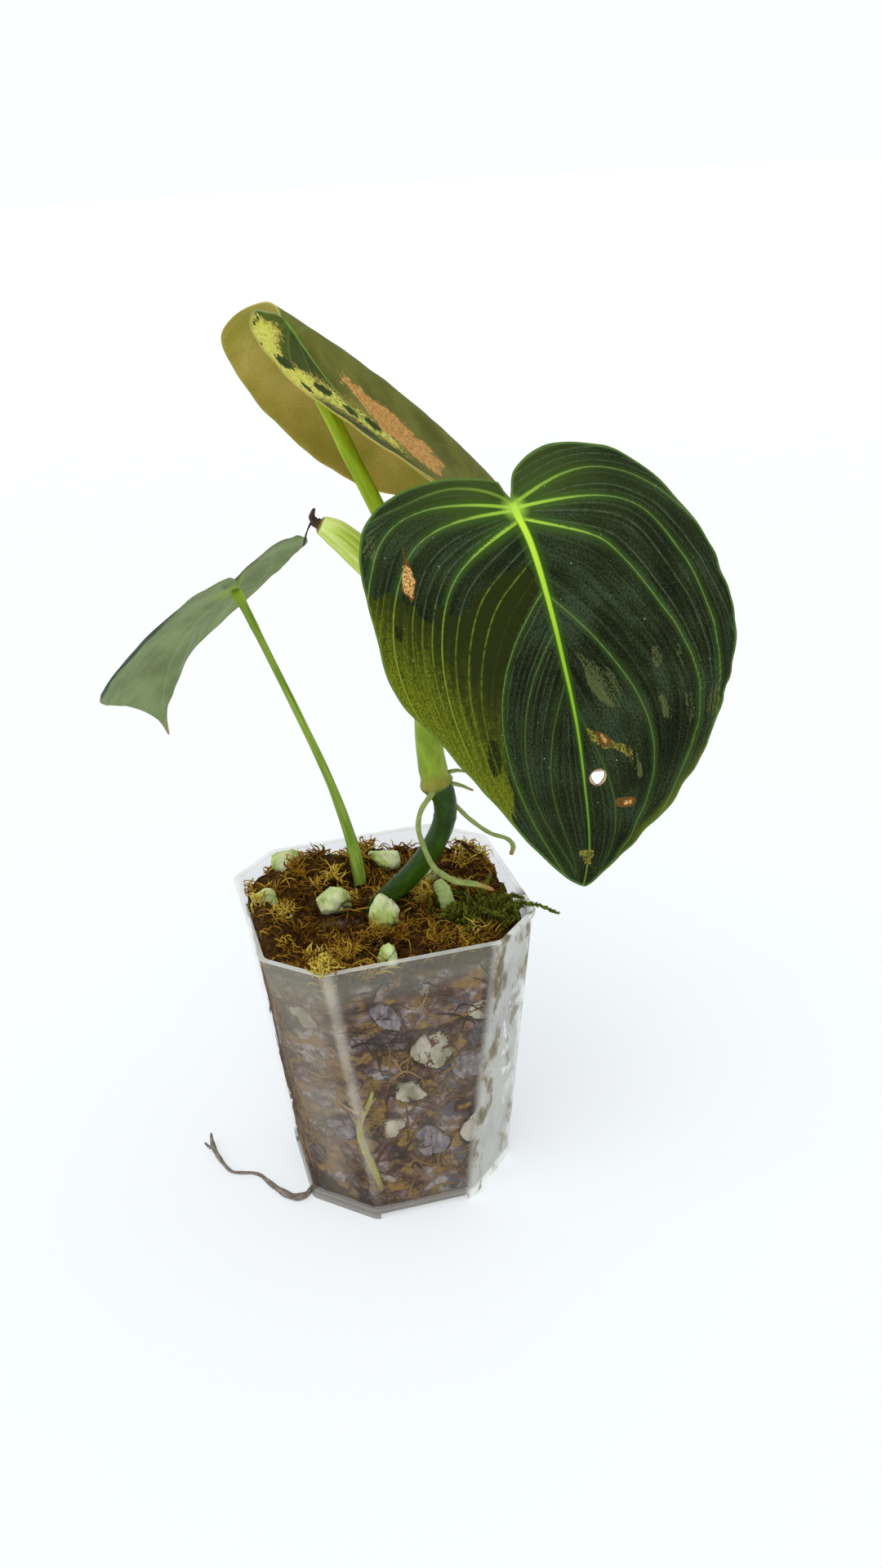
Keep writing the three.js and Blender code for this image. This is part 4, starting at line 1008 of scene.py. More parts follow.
def build_moss_behind_wall():
    """Strands that lie against the inner wall in patches, fewer at the right front corner."""
    count = PRESSED_STRANDS
    steps = np.linspace(0, 1, STRAND_POINTS)
    angle = rng.uniform(0, 2 * math.pi, count)
    z = rng.uniform(PRESSED_LOW, PRESSED_HIGH, count)
    run = rng.uniform(-9, 9, count)
    rise = rng.normal(0, 4, count)
    bend = rng.uniform(-3, 3, count)
    angles = angle[:, None] + (run[:, None] * steps + bend[:, None] * steps**2) / 36
    heights = z[:, None] + rise[:, None] * steps + bend[:, None] * np.sin(np.pi * steps) * 1.2
    heights = np.clip(heights, PRESSED_LOW - 0.4, PRESSED_HIGH + 1.5)
    fine = rng.uniform(size=count) < 0.5
    radii = np.where(fine, rng.uniform(0.12, 0.25, count), rng.uniform(0.25, 0.6, count))
    depth = radii * 0.5 + 0.25 + rng.uniform(0, 0.8, count)
    reach = inner_reach(angles, heights, depth[:, None])
    lines = np.stack([reach * np.cos(angles), reach * np.sin(angles), heights], axis=2)
    corner = 0.4 * np.exp(-(((angle - 5.5) / 0.2) ** 2))
    patchy = lumps(lines[:, 3], size=20, seed=23) + 0.6 * lumps(lines[:, 3], size=9, seed=24)
    kept = (rng.uniform(size=count) > 0.85 * corner) & (patchy > rng.uniform(-1.6, 0.8, count))
    lines = lines[kept]
    shade = 0.38 + 0.22 * lumps(lines[:, 3], size=22, seed=21)
    tones = np.clip(shade + rng.uniform(-0.2, 0.22, len(lines)), 0, 1)
    mesh = strands("moss_behind_wall", lines, radii[kept], tones)
    finish = moss_finish("pressed_moss", (0.1, (0.03, 0.014, 0.01)), (0.34, (0.1, 0.045, 0.02)),
                         (0.6, (0.25, 0.14, 0.04)), (0.9, (0.42, 0.3, 0.12)))
    show("moss_behind_wall", mesh, "brown_moss", finish)


def green_moss_finish():
    f = Finish("living_moss")
    tone = f.field("tone")
    share = f.field("share")
    colour = f.ramp(tone + share * 0.25, (0.1, (0.025, 0.03, 0.004)), (0.5, (0.07, 0.09, 0.008)),
                    (0.95, (0.2, 0.22, 0.025)))
    return f.surface(colour, 0.75, Specular_IOR_Level=0.05)


def build_green_moss():
    """Leafy shoots along their paths and short ones around them, each leaf a strand."""
    lines, radii = [], []
    steps = np.linspace(0, 1, 4)[:, None]
    shoots = [through(path, np.linspace(0, 1, LONG_SHOOT_POINTS)) for path in MOSS_SHOOTS]
    for _ in range(SMALL_SHOOTS):
        x = SHOOTS_MIDDLE[0] + rng.normal(0, 6.5)
        y = SHOOTS_MIDDLE[1] + rng.normal(0, 5)
        way = np.array([rng.normal(0, 1), rng.normal(0, 1), rng.uniform(0.5, 1.6)])
        start = np.array([x, y, SHOOTS_MIDDLE[2]])
        end = start + unit(way) * rng.uniform(4, 7)
        shoots.append(np.linspace(start, end, SHORT_SHOOT_POINTS))
    for shoot in shoots:
        along = unit(np.gradient(shoot, axis=0))
        spread = np.linspace(1, 0.35, len(shoot))
        for spot, way, wide in zip(shoot, along, spread):
            for _ in range(7 if len(shoot) == LONG_SHOOT_POINTS else 3):
                out = rng.normal(size=3)
                out = unit(out - way * (out @ way))
                leaf = way * rng.uniform(0.6, 1.3) + out * rng.uniform(0.5, 1.1) * wide
                lines.append(spot + leaf * steps * rng.uniform(1.4, 2.4) * (0.55 + 0.45 * wide))
                radii.append(rng.uniform(0.16, 0.3))
    lines = np.array(lines)
    flat = lines[:, -1]
    limit = inner_reach(np.arctan2(flat[:, 1], flat[:, 0]), 98, 1.0)
    inside = (np.hypot(flat[:, 0], flat[:, 1]) < limit) | (lines[:, 0, 2] > 100.6)
    lines = lines[inside]
    tones = rng.uniform(0.1, 0.9, len(lines))
    mesh = strands("green_moss_shoots", lines, np.array(radii)[inside], tones)
    show("green_moss_shoots", mesh, "living_moss", green_moss_finish(), replaces=["green_moss"])


# Lumps
def pumice_finish(name, *stops):
    """Porous chalky stone with algae-green patches."""
    f = Finish(name)
    place = f.place()
    pores = f.cells(place, 1.1)
    patch = f.noise(place, 0.16, 2)
    stone = f.ramp(patch, *stops)
    dark = f.blend(pores.step(0.28, 0.1) * 0.45, stone, (0.26, 0.28, 0.12))
    return f.surface(dark, 0.9, pores.step(0.0, 0.4), 0.12, Specular_IOR_Level=0.1)


def bark_finish():
    """Greyed bark with lengthwise cracks."""
    f = Finish("bark_chip")
    place = f.place((1, 0.3, 0.5))
    cracks = f.noise(place, 0.55, 4, 0.7)
    colour = f.ramp(cracks, (0.3, (0.05, 0.04, 0.045)), (0.5, (0.17, 0.14, 0.15)), (0.7, (0.32, 0.28, 0.29)))
    return f.surface(colour, 0.9, cracks, 0.6)


def build_lumps():
    """Pumice and bark: each solid rounded and roughened."""
    finishes = {
        "pumice": pumice_finish("damp_pumice", (0.35, (0.66, 0.7, 0.44)), (0.5, (0.52, 0.6, 0.26)),
                                (0.62, (0.36, 0.45, 0.12))),
        "bark": bark_finish(),
    }
    pressed = pumice_finish("pressed_pumice", (0.35, (0.46, 0.42, 0.34)), (0.5, (0.36, 0.33, 0.25)),
                            (0.62, (0.24, 0.22, 0.14)))
    for node in sorted(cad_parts):
        kind = node.split("_")[0]
        if kind not in finishes:
            continue
        bm = merged_copy(node)
        for _ in range(3):
            split(bm, bm.edges[:])
            bmesh.ops.smooth_vert(bm, verts=bm.verts[:], factor=0.25,
                                  use_axis_x=True, use_axis_y=True, use_axis_z=True)
        mesh = to_mesh(bm, node + "_rough")
        points = read_points(mesh) / MM
        rough = 0.3 * lumps(points, size=6, seed=31) + 0.1 * lumps(points, size=1.7, seed=32)
        write_points(mesh, points + normals_of(mesh) * (rough - 0.05)[:, None])
        behind_wall = kind == "pumice" and points[:, 2].max() < 90
        show(node + "_rough", mesh, kind, pressed if behind_wall else finishes[kind], replaces=[node])


# Stem, stalks and roots
def stem_finish():
    """Dark green below the node, light green above it, with a corky brown ring between them."""
    f = Finish("stem_skin")
    share = f.field("share")
    streaks = f.noise_over("skin", (1.6, 1.6, 0.12), 4, 0.6)
    specks = f.noise_over("skin", (4, 4, 2.2), 3, 0.6)
    dark = f.blend(streaks.step(0.3, 0.75), (0.012, 0.036, 0.002), (0.035, 0.085, 0.004))
    light = f.blend(streaks.step(0.3, 0.75), (0.17, 0.27, 0.015), (0.31, 0.41, 0.035))
    above = (share + streaks * 0.03).step(0.565, 0.625)
    ring = above * (share + streaks * 0.02).step(0.66, 0.6)
    green = f.blend(above, dark, light)
    corky = f.blend(ring * specks.step(0.35, 0.6), green, (0.3, 0.2, 0.05))
    return f.surface(corky, 0.36, streaks + specks * 0.5, 0.12, Specular_IOR_Level=0.16)


def stalk_finish(name, dark, light, joint):
    """A green stalk with fine lengthwise streaks and a brighter joint under its blade."""
    f = Finish(name)
    share = f.field("share")
    streaks = f.noise_over("skin", (2.2, 2.2, 0.1), 4, 0.6)
    warts = f.noise_over("skin", (5, 5, 3), 2)
    green = f.blend(streaks.step(0.3, 0.7), dark, light)
    colour = f.blend(share.step(0.84, 0.95) * 0.9, green, joint)
    return f.surface(colour, 0.45, streaks + warts * 0.6, 0.1, Specular_IOR_Level=0.12)


def root_finish(name, pale, deep, tip):
    f = Finish(name)
    share = f.field("share")
    streaks = f.noise_over("skin", (1.5, 1.5, 0.4), 4, 0.65)
    skin = f.blend(streaks.step(0.3, 0.72), deep, pale)
    colour = f.blend(share.step(0.86, 0.97) * 0.85, skin, tip)
    return f.surface(colour, 0.62, streaks, 0.12)


def sheath_finish():
    """Pale green with darker stripes along it and a brown dry edge at the opening."""
    f = Finish("sheath_skin")
    share = f.field("share")
    stripes = f.noise_over("skin", (3.4, 3.4, 0.05), 3, 0.5)
    broad = f.noise_over("skin", (0.9, 0.9, 0.04), 2)
    green = f.ramp(stripes * 0.6 + broad * 0.5, (0.35, (0.31, 0.42, 0.03)), (0.5, (0.5, 0.62, 0.1)),
                   (0.68, (0.7, 0.8, 0.3)))
    green = f.blend(share.step(0.6, 0.96) * broad.step(0.35, 0.6) * 0.6, green, (0.66, 0.76, 0.3))
    dry = (share + stripes * 0.03).step(0.965, 0.99)
    colour = f.blend(dry, green, (0.2, 0.12, 0.03))
    return f.surface(colour, 0.5, stripes, 0.15, Specular_IOR_Level=0.12)


def dry_finish(name, dark, light):
    f = Finish(name)
    grain = f.noise_over("skin", (2, 2, 0.5), 5, 0.75)
    return f.surface(f.blend(grain.step(0.35, 0.7), dark, light), 0.88, grain, 0.3)


def node_swell(share, angle):
    """The stem's ringed joint and a few faint rings below it."""
    swell = np.ones(len(share))
    for place, rise, width in NODE_RINGS:
        swell += rise * np.exp(-(((share - place) / width) ** 2))
    return swell + 0.015 * np.sin(3 * angle + 9 * share)


def grooved(share, angle):
    """A shallow channel along one side of a stalk, and slow unevenness."""
    channel = 0.13 * np.exp(-((np.abs(angle) / 0.5) ** 2))
    joint = 0.07 * np.exp(-(((share - 0.8) / 0.012) ** 2))
    return 1 - channel + joint + 0.02 * np.sin(4 * angle + 20 * share) + 0.015 * np.sin(55 * share)


def ridged(share, angle):
    """Fine ridges along the sheath."""
    return 1 + 0.018 * np.sin(14 * angle) + 0.03 * np.sin(2 * angle + 3 * share)


def knobbly(share, angle):
    return 1 + 0.1 * np.sin(70 * share + 2 * angle) + 0.08 * np.sin(23 * share - angle)


def slightly_knobbly(share, angle):
    return 1 + 0.05 * np.sin(60 * share + 2 * angle) + 0.04 * np.sin(19 * share - angle)


def build_stem_and_roots():
    build_round("main_stem", "stem", STEM, 28, 150, node_swell, "stem_skin", stem_finish())
    stalks = (
        ("stalk_a", STALK_A, (0.18, 0.28, 0.012), (0.32, 0.44, 0.03)),
        ("stalk_b", STALK_B, (0.22, 0.33, 0.008), (0.36, 0.48, 0.02)),
        ("stalk_c", STALK_C, (0.13, 0.23, 0.015), (0.3, 0.42, 0.07)),
    )
    for node, spec, dark, light in stalks:
        green = stalk_finish(node + "_green", dark, light, (0.32, 0.47, 0.03))
        build_round(node + "_skin", node, spec, 22, 90, grooved, "stalk_skin", green, (0.02, 0.04))
    build_round("growth_sheath_skin", "growth_sheath", SHEATH, 56, 70, ridged, "sheath_skin", sheath_finish(),
                (0.02, 0.05))
    brown = dry_finish("dried_brown", (0.012, 0.008, 0.005), (0.09, 0.05, 0.02))
    build_round("dried_sheath_tip", "dry_tip", DRY_TIP, 14, 24, knobbly, "dried_tip", brown, (0.1, 0.1))
    build_round("dried_sheath_thread", None, DRY_THREAD, 8, 24, knobbly, "dried_tip", brown)
    fresh = root_finish("fresh_root", (0.32, 0.37, 0.1), (0.17, 0.23, 0.04), (0.35, 0.16, 0.03))
    for i, (path, radii) in enumerate(AERIAL_ROOTS, 1):
        node = f"aerial_root_{i}"
        slim = (path, [0.8 * radius for radius in radii])
        build_round(node + "_skin", node, slim, 14, 70, slightly_knobbly, "root_skin", fresh)
    stub = root_finish("stub_root", (0.5, 0.62, 0.24), (0.36, 0.48, 0.14), (0.4, 0.44, 0.2))
    build_round("root_stub_skin", "root_stub", ROOT_STUB, 20, 40, slightly_knobbly, "root_skin", stub,
                (0.12, 0.02))
    pressed = root_finish("pressed_root", (0.36, 0.33, 0.06), (0.22, 0.2, 0.04), (0.2, 0.13, 0.04))
    build_round("pot_root_skin", "pot_root", POT_ROOT, 14, 60, slightly_knobbly, "root_skin", pressed)
    grey = dry_finish("dry_root_skin", (0.11, 0.08, 0.06), (0.34, 0.29, 0.24))
    build_round("stray_root_skin", "stray_root", STRAY_ROOT, 12, 160, knobbly, "dry_root", grey)
    build_round("stray_root_fork", None, STRAY_FORK, 10, 16, knobbly, "dry_root", grey)


# Leaves
def leaf_axes(leaf):
    """The leaf's own axes: across to its left half, along to its tip, and out of its upper face."""
    towards = np.array([-math.sin(VIEW_TURN), -math.cos(VIEW_TURN), 0])
    rightwards = np.array([math.cos(VIEW_TURN), -math.sin(VIEW_TURN), 0])
    azimuth, elevation, roll = (math.radians(leaf[k]) for k in ("azimuth", "elevation", "roll"))
    along = (rightwards * math.cos(azimuth) + towards * math.sin(azimuth)) * math.cos(elevation)
    along[2] += math.sin(elevation)
    level = unit(np.array([0, 0, 1]) - along * along[2])
    face = level * math.cos(roll) + np.cross(along, level) * math.sin(roll)
    return np.cross(along, face), along, face


def section(half, width, s):
    """Where a half's section has got to, s from the midrib: sideways and up."""
    rate = half["curl"] / width
    rest = np.maximum(s - width, 0)
    rise = half["rise"]
    turned = rise - rate * np.minimum(s, width)
    sideways = (math.sin(rise) - np.sin(turned)) / rate + rest * np.cos(turned)
    up = (np.cos(turned) - math.cos(rise)) / rate + rest * np.sin(turned)
    return sideways, up


def bend(leaf, along, across):
    """The places in space of points of the flat leaf, in millimetres."""
    length = leaf["length"]
    part = along / length
    shifted = across + leaf["bow"] * part * (1 - part) * 4 * length
    rate = np.where(along > 0, leaf["droop"], leaf["lobe_droop"]) / length
    turn = rate * along
    left_side, left_up = section(leaf["left"], leaf["half_width"], np.abs(shifted))
    right_side, right_up = section(leaf["right"], leaf["half_width"], np.abs(shifted))
    x = np.where(shifted > 0, left_side, -right_side)
    up = np.where(shifted > 0, left_up, right_up)
    y = np.sin(turn) / rate + up * np.sin(turn)
    z = (np.cos(turn) - 1) / rate + up * np.cos(turn)
    sides, onwards, out = leaf_axes(leaf)
    return np.array(leaf["stalk"]) + np.outer(x, sides) + np.outer(y, onwards) + np.outer(z, out)


def leaf_normals(leaf, along, across):
    step = 0.05
    forwards = bend(leaf, along + step, across) - bend(leaf, along - step, across)
    sideways = bend(leaf, along, across + step) - bend(leaf, along, across - step)
    return unit(np.cross(sideways, forwards))


def smooth_line(points, shares):
    """A uniform Catmull-Rom curve with doubled ends, as the leaf outlines use."""
    p = np.array(points, float)
    p = np.vstack([p[:1], p, p[-1:]])
    spot = np.asarray(shares) * (len(points) - 1)
    i = np.minimum(spot.astype(int), len(points) - 2)
    t = (spot - i)[:, None]
    p0, p1, p2, p3 = p[i], p[i + 1], p[i + 2], p[i + 3]
    m1 = (p2 - p0) / 2
    m2 = (p3 - p1) / 2
    return cubic(p1, p2, m1, m2, t)


def outline_at(leaf, spoke):
    """The flat outline, in millimetres, at spokes from 0 round to 1: down the left half and up the right."""
    halves = []
    for side, share in (("left", np.clip(spoke * 2, 0, 1)), ("right", np.clip(2 - spoke * 2, 0, 1))):
        half = smooth_line([(NOTCH, 0), *leaf[side]["outline"], (1, 0)], share)
        half[:, 1] = np.maximum(half[:, 1], 0.25 * share * (1 - share))
        waves = np.sin(27 * share + len(side)) + 0.7 * np.sin(46 * share + leaf["length"])
        half[:, 1] *= 1 + leaf["waves"] * waves * np.sin(math.pi * share)
        halves.append(half)
    halves[1][:, 1] *= -1
    flat = np.where((spoke <= 0.5)[:, None], *halves)
    return flat * (leaf["length"], leaf["half_width"])


def midrib_at(leaf, along):
    """How far the midrib lies to the left of the leaf's middle line, in millimetres."""
    line = smooth_line(leaf["midrib"], np.linspace(0, 1, 90))
    return np.interp(along / leaf["length"], line[:, 0], line[:, 1]) * leaf["half_width"]


def to_segment(points, a, b):
    """How far points lie from a straight line between two others."""
    way = b - a
    share = np.clip(((points - a) @ way) / max(way @ way, 1e-9), 0, 1)
    offset = points - (a + share[:, None] * way)
    return np.hypot(offset[:, 0], offset[:, 1])


def side_of_line(points, line):
    """Signed distance to a line of points: positive on the side nearer the leaf's tip."""
    best = np.full(len(points), 1e9)
    signed = np.zeros(len(points))
    for a, b in zip(line[:-1], line[1:]):
        way = b - a
        distance = to_segment(points, a, b)
        side = way[1] * (points[:, 0] - a[0]) - way[0] * (points[:, 1] - a[1])
        nearer = distance < best
        best = np.where(nearer, distance, best)
        signed = np.where(nearer, np.where(side > 0, distance, -distance), signed)
    return signed


def vein_line(leaf, points, spread):
    """A vein as a smooth line in millimetres, run on past the margin."""
    shares = np.linspace(0, 1, 5 * len(points))
    line = smooth_line(points, shares) * (leaf["length"], leaf["half_width"] * spread)
    for _ in range(VEIN_SMOOTHING):
        line[1:-1] = line[1:-1] / 2 + (line[:-2] + line[2:]) / 4
    before = line[0] - unit(line[1] - line[0]) * VEIN_RUN_ON
    after = line[-1] + unit(line[-1] - line[-2]) * VEIN_RUN_ON
    return np.vstack([before, line, after])


def vein_fields(leaf, flat):
    """For each flat point: a count that is whole on every side vein, the gap between veins there, the nearest
    vein's strength, and the signed distance to the midrib."""
    count = np.zeros(len(flat))
    gap = np.full(len(flat), float(EDGE_CELL))
    strength = np.zeros(len(flat))
    rib = flat[:, 1] - midrib_at(leaf, flat[:, 0])
    most = max(len(VEINS_LEFT), len(VEINS_RIGHT))
    for sign, veins, side in ((1, VEINS_LEFT, "left"), (-1, VEINS_RIGHT, "right")):
        here = rib * sign >= 0
        points = np.column_stack([flat[here, 0], np.abs(rib[here])])
        spread = max(across for _, across in leaf[side]["outline"])
        signed = [side_of_line(points, vein_line(leaf, line, spread)) for line, _ in veins]
        signed.append(-np.maximum(points[:, 1], 0.02))
        strengths = [s for _, s in veins] + [0]
        found = signed[0] / EDGE_CELL
        local = np.full(len(points), float(EDGE_CELL))
        force = np.full(len(points), strengths[0])
        for k in range(len(veins)):
            inside = signed[k] > 0
            width = np.maximum(signed[k] - signed[k + 1], 0.05)
            share = np.clip(signed[k] / width, 0, 1)
            found = np.where(inside, k + share, found)
            local = np.where(inside, width, local)
            force = np.where(inside, np.where(share < 0.5, strengths[k], strengths[k + 1]), force)
        count[here] = found + most - len(veins)
        gap[here] = local
        strength[here] = force
    return count, gap, strength, rib


def in_patch(flat, outline, leaf):
    """Signed distance to a closed patch in millimetres: positive inside."""
    loop = np.array(outline) * (leaf["length"], leaf["half_width"])
    best = np.full(len(flat), 1e9)
    inside = np.zeros(len(flat), bool)
    for a, b in zip(loop, np.roll(loop, -1, axis=0)):
        way = b - a
        best = np.minimum(best, to_segment(flat, a, b))
        crosses = (a[1] > flat[:, 1]) != (b[1] > flat[:, 1])
        slope = way[1] if abs(way[1]) > 1e-9 else 1e-9
        inside ^= crosses & (flat[:, 0] < way[0] * (flat[:, 1] - a[1]) / slope + a[0])
    return np.where(inside, best, -best)


def leaf_sheet(name, leaf, quilt, patches, hole):
    """A fine sheet in the leaf's bent shape, raised between its veins, with its fields kept on its points."""
    bm = bmesh.new()
    bmesh.ops.create_grid(bm, x_segments=SPOKES, y_segments=RINGS, size=0.5)
    mesh = to_mesh(bm, name)
    grid = read_points(mesh) + (0.5, 0.5, 0)
    spoke = np.rint(grid[:, 0] * SPOKES) / SPOKES
    share = np.rint(grid[:, 1] * RINGS) / RINGS
    rim = outline_at(leaf, spoke)
    hub = np.array([leaf["length"] * LEAF_HUB, 0])
    flat = hub + (rim - hub) * share[:, None]
    flat[np.isin(spoke, (0, 0.5, 1)), 1] = 0
    write_points(mesh, np.column_stack([flat, np.zeros(len(flat))]))
    bm = bmesh.new()
    bm.from_mesh(mesh)
    bmesh.ops.remove_doubles(bm, verts=bm.verts[:], dist=1e-7)
    if hole is not None:
        open_hole(bm, leaf, hole)
    bm.to_mesh(mesh)
    bm.free()
    flat = (read_points(mesh) / MM)[:, :2]
    count, gap, strength, rib = vein_fields(leaf, flat)
    around = np.arange(MARGIN_POINTS) / MARGIN_POINTS
    margin = outline_at(leaf, around) / (leaf["length"], leaf["half_width"])
    edge = np.abs(in_patch(flat, margin, leaf))
    reach = np.hypot(flat[:, 0], flat[:, 1])
    between = np.sin(np.pi * np.clip(np.abs(count - np.floor(count)), 0, 1)) ** 0.8
    calm = np.clip(edge / CALM_EDGE, 0, 1) * np.clip(reach / CALM_REACH, 0.1, 1)
    height = quilt * between * np.clip(gap / WIDE_GAP, 0.1, 1) * calm * np.clip(np.abs(rib) / 3 - 0.2, 0, 1)
    rib_width = 1.7 - 1.2 * np.clip(flat[:, 0] / leaf["length"], 0, 1)
    height -= RIB_GROOVE * np.exp(-((rib / rib_width) ** 2))
    spots = np.column_stack([flat, np.zeros(len(flat))])
    height += 0.2 * quilt * lumps(spots, size=11, seed=51)
    ripple = 45 * leaf["waves"] * np.exp(-edge / 5) * np.clip(reach / 20, 0, 1)
    height += ripple * lumps(spots, size=9, seed=52)
    normal = leaf_normals(leaf, flat[:, 0], flat[:, 1])
    write_points(mesh, bend(leaf, flat[:, 0], flat[:, 1]) + normal * height[:, None])
    fields = dict(veins=count, gap=gap, strength=strength, edge=edge, rib=rib, flat=spots)
    for field, values in fields.items():
        keep(mesh, field, values)
    for field, outlines in patches.items():
        keep(mesh, field, np.max([in_patch(flat, outline, leaf) for outline in outlines], axis=0))
    mesh.flip_normals()
    return mesh


def open_hole(bm, leaf, hole):
    """Takes the faces inside a round hole out of the flat sheet, and rounds its edge."""
    centre = Vector((hole[0] * leaf["length"] * MM, hole[1] * leaf["half_width"] * MM, 0))
    radius = hole[2] * MM
    inside = [face for face in bm.faces if (face.calc_center_median() - centre).length < radius]
    bmesh.ops.delete(bm, geom=inside, context="FACES")
    for vert in bm.verts:
        if vert.is_boundary and (vert.co - centre).length < radius * 1.8:
            way = (vert.co - centre).normalized()
            ragged = 1 + 0.13 * math.sin(3 * math.atan2(way.y, way.x) + 1)
            vert.co = centre + way * radius * ragged


def vein_masks(f, leaf, main_width):
    """Masks of a leaf's side veins, fine veins and midrib, with soft halos, and places on the leaf."""
    count = f.field("veins")
    gap = f.field("gap")
    strength = f.field("strength")
    flat = f.vector("flat")
    share = f.part(flat, 0) / leaf["length"]
    across = f.part(flat, 1)
    reach = f.add("ShaderNodeVectorMath", {"operation": "LENGTH"}, {0: flat}, output=1)
    near = reach.step(30, 2)
    from_rib = abs(f.field("rib"))
    clear = from_rib.step(0.6, 1.5)
    distance = count.to_whole() * gap
    width = (near * 0.9 + 0.75) * main_width
    line = (1 - (distance / width).step(0.3, 1.0)) * strength * clear
    halo = (1 - (distance / (width * 6)).step(0.0, 1.0)) * strength
    left_half = across.step(-0.01, 0.01)
    fine_count = count * FINE_VEINS
    fine_distance = fine_count.to_whole() * gap / FINE_VEINS
    wobble = f.noise_over("flat", (0.5, 0.5, 1), 2)
    fine = (1 - fine_distance.step(0.08, 0.32)) * gap.step(2.5, 6) * wobble.step(0.25, 0.6) * clear
    fine = fine * (f.chance((fine_count + left_half * 60 + 0.5).floor()).step(0.1, 0.9) + 0.1)
    jag = f.chance(fine_count.floor() + left_half * 40) - 0.5
    rib_width = 1.22 - share * 1.9 + share * share * 0.85
    started = share.step(-0.02, 0.0)
    rib = (1 - (from_rib / rib_width).step(0.4, 1.0)) * started
    rib_halo = (1 - (from_rib / (rib_width * 3)).step(0.2, 1.0)) * started
    return SimpleNamespace(line=line, halo=halo, fine=fine, rib=rib, rib_halo=rib_halo, near=near,
                           reach=reach, share=share, across=across, count=count, jag=jag)


def streaks_between(f, m):
    """Streaks that run along the side veins."""
    return f.noise(f.add("ShaderNodeCombineXYZ", None, {0: m.count * 9, 1: m.share * 5}), 1.0)


